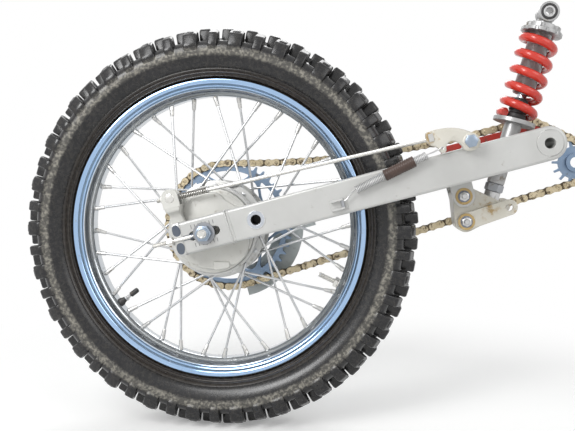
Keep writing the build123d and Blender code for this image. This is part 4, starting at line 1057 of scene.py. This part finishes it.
axle, nuts, washers = [turned(((-104, 5.9), (104, 5.9)), wheel_centre, LEFTWARD)], [], []
for _, outward in SIDES:
    axle += [turned(AXLE_THREAD, wheel_centre, outward), turned(AXLE_TIP, wheel_centre, outward)]
    washers.append(turned_ring(AXLE_WASHER, wheel_centre + WASHER_START * outward, outward, corners=48))
    nuts += [nut(wheel_centre + NUT_START * outward, outward, 11.5, 7.2, start_turn=0.35),
             turned_ring(NUT_COLLAR, wheel_centre, outward, corners=40)]
new_piece("axle_bar", "bright_steel", "zinc", axle, ("axle",))
new_piece("axle_nuts_fine", "blue_steel", "zinc", nuts, ("axle_nuts",))
new_piece("axle_washers", "dark_plated", "zinc", washers)

# %% Chain adjusters
STUD_SPREAD, STUD_REACH, CAP_END = 98.8, 74.0, 44.0
STUD_WASHER = ((-1.0, 2.8), (-1.0, 5.3), (-0.5, 5.9), (0.2, 5.9), (0.2, 2.8))
STUD_EYE = ((0, 3.2), (0.6, 4.2), (4.4, 4.4), (5.0, 3.6))

studs, eyes_and_groove_shade = [], []
for side, outward in SIDES:
    tail = on_arm(-STUD_REACH, 0, side * STUD_SPREAD)
    studs += [
        turned(thread_profile(0, 32, 2.8), tail, along_arm, corners=16),
        turned(((30, 2.6), (STUD_REACH - 15, 2.6)), tail, along_arm, corners=16),
        nut(on_arm(-CAP_END - 8.6, 0, side * STUD_SPREAD), along_arm, 5.8, 7.6, 0.2),
        turned_ring(STUD_WASHER, on_arm(-CAP_END, 0, side * STUD_SPREAD), along_arm),
    ]
    # The stud's eye is painted dark blue-grey as shade, and a thin dark strip along the slot is a painted
    # shadow under the stud.
    eyes_and_groove_shade += [turned(STUD_EYE, on_arm(-20, 0, side * 97.0), along_arm),
             arm_slab(oblong(-40, -18, -3.4, 3.4), ((0.0, 0.0), (0.1, 0.0)), (0, 0, side * 98.0), side)]
new_piece("adjuster_studs", "bright_steel", "zinc", studs, ("adjusters",))
new_piece("adjuster_eyes_painted_shade", "blue_painted_shade", "zinc", eyes_and_groove_shade)

# %% Cast caps that close the brackets
CAP_OUTLINE = ((-31, 22.9), (-31, -22.9), (-40, -22.9), (-44, -19), (-44.2, 0), (-44, 19), (-40, 22.9))
CAP_LEVELS = ((0, 1.6), (0.6, 0.5), (1.8, 0), (22.2, 0), (23.4, 0.5), (24, 1.6))
# Dark blue-grey sheets on the cap's face, above and below the stud, are painted shade of its recessed rear
# end.
POCKET_SHADE = np.array(((-42.5, 20), (-32, 21), (-30.5, 4.5), (-42.5, 4.5)))

caps, pocket_shades = [], []
for side, _ in SIDES:
    caps.append(arm_slab(CAP_OUTLINE, CAP_LEVELS, (0, 0, side * 75.0), side))
    for flip in (1, -1):
        outline = lobed(POCKET_SHADE * (1, flip))
        pocket_shades.append(arm_slab(outline, ((23.0, 0.0), (24.06, 0.2)), (0, 0, side * 75.0), side))
new_piece("cast_caps", "silver_paint", "arm_paint", caps, ("end_caps",))
new_piece("cap_pocket_shades", "blue_painted_shade", "arm_paint", pocket_shades)

# %% [markdown]
# ## Brake rod, springs and linkage pins
# The rod runs from a pin in the brake lever to the crank. Its nut stands behind the pin, on a
# threaded tail, and a fine spring holds the pin against it. The crank is pulled back by a
# longer spring that passes through a rubber sleeve. Both are helices like the shock's, only
# thinner, and the longer one ends in hooks of the same wire.

# %% Rod, its nut and its spring
LEVER_PIN = ((-11.4, 5.2), (-11.0, 6.2), (-10.4, 6.6), (10.4, 6.6), (11.0, 6.2), (11.4, 5.2))
ROD_COLLAR = ((-8.6, 4.6), (-8.0, 5.4), (-7.2, 5.4), (-6.8, 4.8))
rod_pin, rod_end = on_arm(-38.6, 58.4, -74.0), on_arm(322, 44, -99.0)
rod_run, rod_length = unit(rod_end - rod_pin), np.linalg.norm(rod_end - rod_pin)
rod = [
    turned(thread_profile(-22, 14, 2.8, pitch=0.9), rod_pin, rod_run, corners=16),
    turned(((13, 2.75), (rod_length - 4, 2.75)), rod_pin, rod_run, corners=16),
    nut(rod_pin - rod_run * 15.2, rod_run, 6.0, 8.0, start_turn=0.3),
    turned(ROD_COLLAR, rod_pin, rod_run),
]
new_piece("rod_bar", "bright_steel", "zinc", rod, ("brake_rod", "rod_nut"))

path = coil_path(rod_pin + rod_run * 7.6, rod_pin + rod_run * 53.0, 3.75, 19, per_turn=18, closed_turns=1.2)
new_piece("rod_coil", "dull_spring", "spring_steel", [bar(path, 0.7, rod_run)], ("rod_spring",))
# Columns: place along the rod, outer radius, thickness.
ROD_CLIPS = ((53.6, 4.9, 1.4), (6.8, 5.2, 1.2))
clips = [turned_ring(washer_profile(2.7, outer, thickness), rod_pin + rod_run * place, rod_run, corners=24)
         for place, outer, thickness in ROD_CLIPS]
new_piece("rod_clips", "plated_steel", "zinc", clips)
pin = turned(LEVER_PIN, rod_pin, LEFTWARD, corners=36)
new_piece("lever_pin", "bright_steel", "zinc", [pin], ("rod_pin",))

# %% Crank
CRANK_OUTLINE = (
    (314.6, 37.0), (314.4, 52.4), (320, 54.0), (332, 54.2), (348, 51.8), (361, 46.6), (373, 38.2),
    (380.5, 29), (378, 18.5), (368, 15.5), (358, 18.5), (355.5, 28.5), (346, 35.8), (337.4, 32),
    (335.5, 22.5), (328.5, 22.5), (326.5, 32),
)
CRANK_LEVELS = ((0, 0.9), (0.35, 0.3), (1.0, 0), (8.0, 0), (8.65, 0.3), (9.0, 0.9))
CRANK_RING = ((0, 10.6), (1.2, 10.6), (1.8, 10.0), (1.9, 7))
POST_OUTLINE = ((-9, -8), (9, -8), (9, 0), (8.3, 3.4), (6.4, 6.4), (3.4, 8.3), (0, 9), (-3.4, 8.3),
                (-6.4, 6.4), (-8.3, 3.4), (-9, 0))
CRANK_BOLT = (368.3, 28.2)

crank_bolt = on_arm(*CRANK_BOLT, -103.5)
crank = [arm_slab(lobed(CRANK_OUTLINE, 1), CRANK_LEVELS, (0, 0, -94.5)),
         turned(CRANK_RING, on_arm(*CRANK_BOLT, -103.2), -LEFTWARD, corners=48)]
new_piece("crank_casting", "cream_casting", "crank_cast", crank, ("brake_crank",), sharp_angle=50)
post = arm_slab(POST_OUTLINE, ((0, 0.8), (0.8, 0), (23.2, 0), (24, 0.8)), (*CRANK_BOLT, -70.5))
new_piece("crank_post", "silver_paint", "arm_paint", [post], ("crank_boss",))
bolt = [turned(((-32, 4.9), (0, 4.9)), crank_bolt, -LEFTWARD),
        nut(crank_bolt - 1.4 * LEFTWARD, -LEFTWARD, 8.6, 5.6, start_turn=0.2)]
new_piece("crank_bolt", "blue_steel", "zinc", bolt)
clevis = arm_slab(oblong(-3.4, 3.4, -5.2, 5.2), ((0, 0), (9.6, 0), (10.2, 0.6)), (321.2, 45.4, -94.5))
new_piece("crank_clevis", "nipple_nickel", "zinc", [clevis])

# %% Return spring with its hooks, and the sleeve
SPRING_Y, RETURN_WIRE, RETURN_RADIUS = -106.0, 0.95, 4.4
RIDGE_STEPS, RIDGE_RADII = (0.0, 0.7, 1.5, 2.2), (7.5, 7.5, 7.05, 7.05)
spring_foot, spring_head = on_arm(212, 5, SPRING_Y), on_arm(310, 25.4, SPRING_Y)
spring_run = unit(spring_head - spring_foot)
lug_hole, crank_hole = on_arm(193, -6.5, -104.5), on_arm(331.5, 29.0, -104.5)
sideways, _ = side_pair(spring_run)
foot_hook = (
    spring_foot + 4.5 * sideways,
    spring_foot - 2.0 * spring_run + 3.0 * sideways,
    spring_foot - 4.5 * spring_run + 0.5 * sideways,
    lug_hole + 5.0 * unit(spring_foot - lug_hole),
    lug_hole + 1.5 * over_arm,
    lug_hole - 2.6 * along_arm + 0.2 * over_arm,
    lug_hole - 3.4 * along_arm - 2.4 * over_arm,
    lug_hole - 1.2 * along_arm - 3.6 * over_arm,
)
head_hook = (
    spring_head + 4.5 * sideways,
    spring_head + 1.8 * spring_run + 2.6 * sideways,
    spring_head + 0.35 * (crank_hole - spring_head),
    spring_head + 0.8 * (crank_hole - spring_head),
    crank_hole + 1.6 * over_arm,
    crank_hole + 2.4 * along_arm + 0.4 * over_arm,
    crank_hole + 1.0 * along_arm - 2.2 * over_arm,
)
path = coil_path(spring_foot, spring_head, RETURN_RADIUS, 47, per_turn=14, closed_turns=0.5)
wires = [bar(path, RETURN_WIRE, spring_run), bar(foot_hook, RETURN_WIRE, LEFTWARD),
         bar(head_hook, RETURN_WIRE, LEFTWARD)]
new_piece("return_coil", "plated_steel", "spring_steel", wires, ("return_spring",))

ridges = np.arange(42.5, 81.5, 3.0)
sleeve_profile = np.concatenate((
    ((41.0, 6.4), (41.0, 7.0), (41.6, 7.5)),
    [(ridge + step, radius) for ridge in ridges for step, radius in zip(RIDGE_STEPS, RIDGE_RADII)],
    ((82.4, 7.5), (83.0, 7.0), (83.0, 6.4), (82.0, 5.6), (42.0, 5.6)),
))
sleeve = turned_ring(sleeve_profile, spring_foot, spring_run)
new_piece("ribbed_sleeve", "brown_sleeve", "sleeve_rubber", [sleeve], ("spring_sleeve",))

# %% Lug that holds the spring's foot
LUG_POST = ((-8.6, 1.6), (-8.2, 2.2), (6.2, 2.2), (6.6, 1.6))
lug_place, flange_levels = (186, -8, -98.0), ((0, 0), (9.4, 0), (10, 0.6))
lug = [
    arm_slab(oblong(-10.8, 10.8, -7.4, 7.4), ((-0.2, 0), (1.6, 0), (2.2, 0.6)), lug_place),
    arm_slab(oblong(-10.5, 7, 4.4, 7.2), flange_levels, lug_place),
    arm_slab(oblong(-10.5, 7, -7.2, -4.4), flange_levels, lug_place),
]
new_piece("folded_lug", "silver_paint", "arm_paint", lug, ("spring_lug",))
lug_post = turned(LUG_POST, on_arm(191, -7, -104.5), over_arm, corners=20)
new_piece("lug_post", "dark_plated", "zinc", [lug_post])

# %% Pins of the linkage, with the seals of their eyes
LINK_PINS, PIN_REACH = ((351, -42), (345.8, -76.9)), 29.8
SEAL = ((-0.2, 6.0), (-0.2, 11.6), (0.7, 11.6), (1.2, 11.0), (1.2, 6.0))
EYE_RING = ((1.0, 7.4), (1.3, 8.2), (1.7, 8.2), (2.0, 7.4))
SHOCK_PIN = ((-23.6, 4.4), (-23.2, 5.0), (23.2, 5.0), (23.6, 4.4))

bolts, seals, rings = [turned(SHOCK_PIN, shock_foot, LEFTWARD, corners=28)], [], []
for along, over in LINK_PINS:
    middle = on_arm(along, over, 0.0)
    bolts.append(turned(((-PIN_REACH, 5.0), (PIN_REACH, 5.0)), middle, LEFTWARD))
    for _, outward in SIDES:
        face = middle + PIN_REACH * outward
        seals.append(turned_ring(SEAL, face, outward, corners=48))
        rings.append(turned(EYE_RING, face, outward, corners=40))
        bolts += [nut(face + 2.0 * outward, outward, 6.8, 4.4, start_turn=0.6 + along),
                  turned(thread_profile(5.0, 8.2, 4.0, pitch=0.8, depth=0.3), face, outward, corners=20)]
new_piece("linkage_bolts", "plated_steel", "zinc", bolts, ("link_pins",))
new_piece("eye_seals", "ochre_seal", "zinc", seals)
new_piece("eye_rings", "dark_steel", "zinc", rings)

# %% [markdown]
# ## Shock absorber
# The body is threaded on the outside, so that two notched rings can be screwed down on the
# coil: the lower one carries the spring and the upper one locks it. A rubber stop sits on the
# polished shaft, and a steel sleeve in rubber fills the top eye.

# %% Body, rings and stops
BODY_RADIUS = 14.9
BODY_PROFILE = np.concatenate((
    ((165.0, 6.8), (165.0, 13.6), (166.2, 14.6), (171.0, 14.6), (171.6, 14.0)),
    thread_profile(171.0, 262.0, BODY_RADIUS, pitch=1.6, depth=0.6)[1:-1],
    ((262.0, 14.2),),
))
STOP_PROFILE = ((129, 6.7), (129, 12.5), (131, 13.6), (136, 13.4), (138, 11.6), (140, 11.4), (142, 12.6),
                (147, 12.2), (149, 10.2), (151, 9.8), (154, 10.6), (157, 10.0), (158.5, 8.2), (158.5, 6.7))


def notched_ring(low, high, radius, notches, depth):
    """A ring on the shock with square notches round its edge for a spanner."""
    number = np.arange(notches * 8)
    reach = np.where(number % 8 < 2, radius - depth, radius)
    ring = around(steps(len(number)), *side_pair(shock_run))
    inside = np.full_like(reach, BODY_RADIUS)
    rows = ((low, inside), (low, reach * 0.985), (low + 0.5, reach), (high - 0.5, reach),
            (high, reach * 0.985), (high, inside))
    points = np.concatenate([up_shock(height) + radii[:, None] * ring for height, radii in rows])
    return points, grid_faces(len(rows), len(number), close_rows=True)


new_piece("threaded_body", "shock_alloy", "shock_alloy",
          [turned(BODY_PROFILE, shock_foot, shock_run, corners=40)], ("shock_body",))
new_piece("notched_rings", "shock_alloy", "shock_alloy",
          [notched_ring(250.0, 255.0, 28.0, 12, 2.2), notched_ring(255.3, 262.0, 24.0, 8, 2.4)],
          ("preload_rings",))
new_piece("polished_shaft", "ring_chrome", "shaft_chrome",
          [turned(((24, 6.5), (167, 6.5)), shock_foot, shock_run, corners=32)], ("shock_shaft",))
new_piece("rubber_stop", "black_rubber", "sleeve_rubber",
          [turned_ring(STOP_PROFILE, shock_foot, shock_run, corners=36)])

# %% Lock nut and eye bushes
SLEEVE = ((8, 5.1), (12.6, 5.1), (13.0, 5.5), (13.0, 7.4), (12.6, 7.8), (8, 7.8))
BUSH = ((8, 7.8), (12.0, 7.8), (12.5, 8.4), (12.6, 10.2), (12.0, 11.2), (8, 11.2))
new_piece("shock_nut", "dark_plated", "zinc",
          [nut(up_shock(24.0), shock_run, 13.0, 12.0, start_turn=0.4)], ("shock_lock_nut",))
for name, look, slot, profile in (("eye_sleeves", "plated_steel", "zinc", SLEEVE),
                                  ("eye_rubbers", "black_rubber", "sleeve_rubber", BUSH)):
    new_piece(name, look, slot, [turned_ring(profile, up_shock(280.0), outward) for _, outward in SIDES])

# %% [markdown]
# ## Welds, marks and small fittings
# The arms are welded up from tube and castings, and a weld is a bead of overlapping drops. A
# bead here is a bar along the joint whose radius rises and falls with every drop. Short marks
# beside the axle's slot show how far the wheel is drawn back, and are pressed in the bracket;
# each is drawn as a thin dark strip on the face, painted shade of its groove.

# %% Weld beads
RIPPLE, ARM_HALF_WIDTH, ARM_HALF_HEIGHT, ARM_Y = 0.16, 11.0, 22.5, 87.0
SEAM_HINT = (0.2, 1.0, 0.3)
PIVOT_SEAM_RADIUS, PIVOT_SEAM_Y, RING_SEAM_RADIUS, RING_SEAM_Y = 17.6, 74.4, 12.4, 98.1


def bead(path, radius, drop, hint):
    """A weld along a path: its radius swells by the ripple once for every drop's length."""
    path = np.asarray(path)
    along = np.concatenate(((0.0,), np.cumsum(np.linalg.norm(np.diff(path, axis=0), axis=1))))
    places = np.linspace(0, along[-1], int(along[-1] / (drop / 5)))
    even = np.stack([np.interp(places, along, column) for column in path.T], axis=-1)
    return bar(even, radius * (1 + RIPPLE * np.cos(2 * np.pi * places / drop)), hint)


def closed(path):
    """A path that ends where it starts."""
    return np.concatenate((path, path[:1]))


def section_loop(along, y, slant=0.0):
    """The rounded rectangle where a plane across the arm cuts its surface."""
    loop = closed(rounded_oblong(ARM_HALF_WIDTH, ARM_HALF_HEIGHT, TUBE_CORNER, 18.0))
    return [on_arm(along + slant * over, over, y + across) for across, over in loop]


welds = []
for side, outward in SIDES:
    pivot_turn = np.radians(np.arange(115, 276, 10.0))
    pivot_seam = PIVOT_SEAM_RADIUS * radial(pivot_turn) + PIVOT_SEAM_Y * outward
    ring_seam = on_arm(STAND_BORE, 0.0, side * RING_SEAM_Y) + RING_SEAM_RADIUS * radial(steps(40))
    welds += [
        bead(section_loop(34.6, side * ARM_Y, slant=-0.06), 1.3, 3.2, SEAM_HINT),
        bead(section_loop(38.8, side * ARM_Y, slant=-0.06), 0.9, 3.2, SEAM_HINT),
        bead(section_loop(-30.6, side * ARM_Y), 0.6, 2.6, SEAM_HINT),
        bead(closed(ring_seam), 0.8, 2.4, LEFTWARD),
        bead(pivot_seam, 1.2, 3.2, LEFTWARD),
    ]
    for over in (-20.5, 20.5):
        ends = on_arm(319, over, side * 73.2), on_arm(359, over, side * 67.5)
        welds.append(bead(ends, 1.6, 3.4, over_arm))
for along in (CRANK_BOLT[0] - 9.2, CRANK_BOLT[0] + 9.2):
    welds.append(bead((on_arm(along, 22.7, -71), on_arm(along, 22.7, -84)), 1.1, 3.0, over_arm))
lug_seam = [on_arm(lug_place[0] + along, lug_place[1] + over, -98.3)
            for along, over in ((-11, 7), (-11, -7.5), (11, -7.5))]
welds.append(bead(lug_seam, 0.9, 2.6, LEFTWARD))
new_piece("weld_beads", "silver_paint", "arm_paint", welds, sharp_angle=60)

# %% Marks beside the slots
MARK_STEP, MARK_HALF_WIDTH, MARK_START, MARK_END, MIDDLE_EXTRA = 5.2, 0.45, 10.0, 15.2, 1.2
# Each mark is a thin dark strip on the face: painted shade of a pressed groove
marks = []
for side, _ in SIDES:
    for number in range(-3, 4):
        left, right = number * MARK_STEP - MARK_HALF_WIDTH, number * MARK_STEP + MARK_HALF_WIDTH
        end = MARK_END + (0.0 if number else MIDDLE_EXTRA)
        for outline in (oblong(left, right, MARK_START, end), oblong(left, right, -end, -MARK_START)):
            marks.append(arm_slab(outline, ((0.0, 0.0), (0.14, 0.0)), (0, 0, side * 97.98), side))
new_piece("slot_marks", "mark_painted_shade", "arm_paint", marks)


# %% Valve and rim lock
def rim_stud(angle):
    """Foot on the rim's well and the direction inwards to the axle."""
    inward = -radial(np.radians(angle))
    return wheel_centre - WELL_RADIUS * inward, inward


VALVE_FOOT = ((-1, 6.0), (0.5, 6.5), (3, 6.2), (6, 4.6), (9, 3.9), (9.4, 3.1))
VALVE_CAP = ((20, 3.0), (20.6, 4.0), (32, 3.9), (33.4, 3.3), (34, 2.0))
LOCK_WASHER = ((-0.5, 8.4), (0.2, 8.8), (1.2, 8.6), (1.4, 8.0))
foot, inward = rim_stud(-143.4)
new_piece("valve_rubber", "black_rubber", "valve",
          [turned(VALVE_FOOT, foot, inward), turned(VALVE_CAP, foot, inward, corners=14)],
          ("valve_stem",), "wheel")
stem = [turned(thread_profile(8, 23, 2.7, pitch=0.8, depth=0.3), foot, inward, corners=16),
        nut(foot + 10.5 * inward, inward, 5.2, 3.0, 0.2)]
new_piece("valve_thread", "plated_steel", "valve", stem, body="wheel")
foot, inward = rim_stud(-24.3)
lock = [turned(LOCK_WASHER, foot, inward, corners=32), nut(foot + 1.4 * inward, inward, 7.8, 5.8, 0.3),
        turned(thread_profile(6, 32, 4.0, pitch=1.1), foot, inward, corners=20)]
new_piece("rim_lock_nut", "bright_steel", "rim_lock", lock, ("rim_lock",), "wheel")

# %% [markdown]
# ## Rear sprocket with windows
# The sprocket is a flat plate, toothed outside and opened by triangular windows whose struts
# lean both ways. The plate is a filled flat curve: the outer outline and the windows are closed
# lines in one plane, and the fill leaves what lies inside an inner line open. The teeth stand
# where the solid's do and are more pointed, so that the chain still fits them.

# %% Windowed sprocket
HALF_THICKNESS, PLATE_EDGE, BORE_RADIUS = 2.5, 0.3, 24.0
WINDOW_IN, WINDOW_OUT, STRUT, WINDOWS = 62.0, 86.0, 5.0, 12
# Columns: distance from the pitch circle, half of the gap's width there.
GAP_WIDTHS = np.array(((3.6, 5.7), (2.2, 5.2), (0.0, 4.5), (-2.2, 3.9), (-3.7, 2.5), (-4.2, 1.0)))


def tooth_rows():
    """Outline of the teeth in the wheel's plane: down one flank of every gap and up the other."""
    reach = wheel_pitch + GAP_WIDTHS[:, 0]
    half = GAP_WIDTHS[:, 1] / reach
    angle = np.pi + steps(WHEEL_TEETH)[:, None] + np.concatenate((-half, half[::-1]))
    return flat_points(np.concatenate((reach, reach[::-1])), angle).reshape(-1, 2)


def window(number):
    """A triangle with rounded corners, its point inwards and outwards by turns."""
    wide, narrow = (WINDOW_OUT, WINDOW_IN) if number % 2 else (WINDOW_IN, WINDOW_OUT)
    spread = 2 * np.pi / WINDOWS * 0.98 - STRUT / wide
    angles = 2 * np.pi / WINDOWS * number + spread * np.array((-1, -0.5, 0, 0.5, 1, 0))
    return lobed(flat_points((wide, wide, wide, wide, wide, narrow), angles))


curve = settled(bpy.data.curves.new("sprocket_plate", "CURVE"), dimensions="2D", fill_mode="BOTH",
                extrude=(HALF_THICKNESS - PLATE_EDGE) * MM, bevel_depth=PLATE_EDGE * MM, bevel_resolution=1)
bore = flat_points(BORE_RADIUS, steps(72))
for outline in (tooth_rows(), bore, *(window(number) for number in range(WINDOWS))):
    spline = curve.splines.new("POLY")
    spline.points.add(len(outline) - 1)
    flat = np.pad(outline * MM, ((0, 0), (0, 2)))
    flat[:, 3] = 1.0
    spline.points.foreach_set("co", flat.ravel())
    spline.use_cyclic_u = True
plate_object = bpy.data.objects.new("sprocket_plate_curve", curve)
plate_mesh = bpy.data.meshes.new_from_object(plate_object)
bpy.data.objects.remove(plate_object)
points = np.empty(len(plate_mesh.vertices) * 3)
plate_mesh.vertices.foreach_get("co", points)
points = points.reshape(-1, 3)[:, (0, 2, 1)] / MM + wheel_centre + CHAIN_SPREAD * LEFTWARD
faces = [list(polygon.vertices) for polygon in plate_mesh.polygons]
new_piece("windowed_sprocket", "sprocket_steel", "sprocket", [(points, faces)], ("sprocket",), "wheel")

# %% Bolts of the rear sprocket
SPROCKET_BOLTS, BOLT_CIRCLE, SPROCKET_FACE = 6, 41.0, 64.5
bolt_turn = np.radians(15) + steps(SPROCKET_BOLTS)
bolt_feet = wheel_centre + BOLT_CIRCLE * radial(bolt_turn) + SPROCKET_FACE * LEFTWARD
bolts = [
    turned(((0, 8.2), (0.4, 8.6), (1.2, 8.4), (1.4, 7.6)), bolt_feet, LEFTWARD, corners=28),
    nut(bolt_feet + 1.2 * LEFTWARD, LEFTWARD, 7.2, 5.0, 0.3),
    turned(((5.5, 3.6), (8.2, 3.6), (8.6, 3.0)), bolt_feet, LEFTWARD, corners=16),
]
new_piece("sprocket_bolts", "plated_steel", "zinc", bolts, body="wheel")

# %% [markdown]
# ## Brake cover and lever
# The cover is a casting with a raised face that stops at a curved step, a square pad below and
# a lip that closes the drum's mouth. The lever is forged: two cheeks hold the rod's pin, and
# below them the blade folds inwards, so that it clears the arm, and widens to the cam's boss.
# Its blade is a row of rounded sections, each with its own width and depth.

# %% Raised face, pad and lip of the cover
COVER_FACE, FACE_REACH = 57.4, 54.5
STEP_EDGE = ((36, -47), (41, -44), (48, -36), (53, -26), (55, -15), (53.5, 4), (51, 20), (44, 34),
             (33, 36.6), (21, 44), (13.5, 51.5))
PAD_OUTLINE = ((4, -42.5), (27.6, -42.5), (27.6, -49), (25, -52), (6, -55), (4, -53))
COVER_LIP = ((50.5, 57.0), (50.5, 60.1), (54.0, 60.1), (55.4, 59.4), (56.0, 57.0))
cover_origin = wheel_centre - COVER_FACE * LEFTWARD
round_edge = flat_points(FACE_REACH, np.radians(np.arange(82, 301, 7.0)))
cover = [
    side_slab(np.concatenate((STEP_EDGE, round_edge)), ((0, 0), (2.4, 0.3), (3.6, 1.2), (4.1, 2.6)),
              cover_origin),
    side_slab(PAD_OUTLINE, ((0, 0), (5.2, 0.4), (5.9, 1.2)), cover_origin),
    turned_ring(COVER_LIP, wheel_centre, -LEFTWARD, corners=120),
]
new_piece("cover_relief", "panel_paint", "panel_cast", cover, sharp_angle=40)

# %% Forged lever
# Columns: distance below the pin, half width, near face, far face.
BLADE_SECTIONS = (
    (11, 11.2, -64.2, -83.8), (17, 11.0, -64.2, -83.8), (19.5, 9.6, -64.2, -83.0),
    (21.5, 8.6, -64.2, -80.0), (24, 8.4, -64.2, -76.5), (28, 9.0, -64.2, -75.2),
    (36, 11.0, -64.4, -74.8), (44, 13.0, -65, -74.4), (52, 14.0, -66, -74.0), (58, 12.6, -66, -74.0),
    (63, 8.0, -66, -74.0), (65.5, 2.4, -66, -74.0),
)
BLADE_CORNER, CHEEK_RADIUS, CHEEK_LENGTH = 2.2, 12.0, 14.0
CHEEK_LEVELS = ((0, 0.7), (0.6, 0), (2.9, 0), (3.5, 0.7))
lever_cam = wheel_centre - 40.0 * FORWARD - 4.0 * UPWARD
lever_pin = rod_pin * (FORWARD + UPWARD)
lever_run = unit(lever_cam - lever_pin)
lever_side = np.cross(LEFTWARD, lever_run)


def blade_section(reach, half_width, near, far):
    """A rounded rectangle across the blade, as wide as the blade and as deep as its two faces."""
    loop = rounded_oblong(half_width, (near - far) / 2, min(BLADE_CORNER, half_width * 0.9), 22.5)
    centre = lever_pin + reach * lever_run + (near + far) / 2 * LEFTWARD
    return centre + loop[:, :1] * lever_side + loop[:, 1:] * LEFTWARD


sections = [blade_section(*row) for row in BLADE_SECTIONS]
cheek = np.concatenate((((CHEEK_RADIUS, -CHEEK_LENGTH),),
                        flat_points(CHEEK_RADIUS, np.radians(np.arange(0, 181, 12.0))),
                        ((-CHEEK_RADIUS, -CHEEK_LENGTH),)))
lever = [(np.concatenate(sections), capped(len(sections), len(sections[0])))]
for near in (-64.0, -80.5):
    lever.append(slab(cheek, CHEEK_LEVELS, lever_pin + near * LEFTWARD, lever_side, -lever_run, -LEFTWARD))
new_piece("forged_lever", "panel_paint", "panel_cast", lever, ("brake_lever",), sharp_angle=40)

# %% Ends of the stand bores
# A dark liner and a dark plate end each bore: painted shade for the dark inside of the tube, which also
# keeps light from falling through it.
PLUG, LINER = ((77.0, 6.95), (77.6, 6.95)), ((77.5, 6.4), (77.5, 6.98), (96.6, 6.98), (96.6, 6.4))
shade_liners, bore_place = [], on_arm(STAND_BORE, 0, 0)
for _, outward in SIDES:
    shade_liners += [turned(PLUG, bore_place, outward, corners=28),
               turned_ring(LINER, bore_place, outward, corners=40)]
new_piece("bore_shade_liners", "black_rubber", "arm_paint", shade_liners)
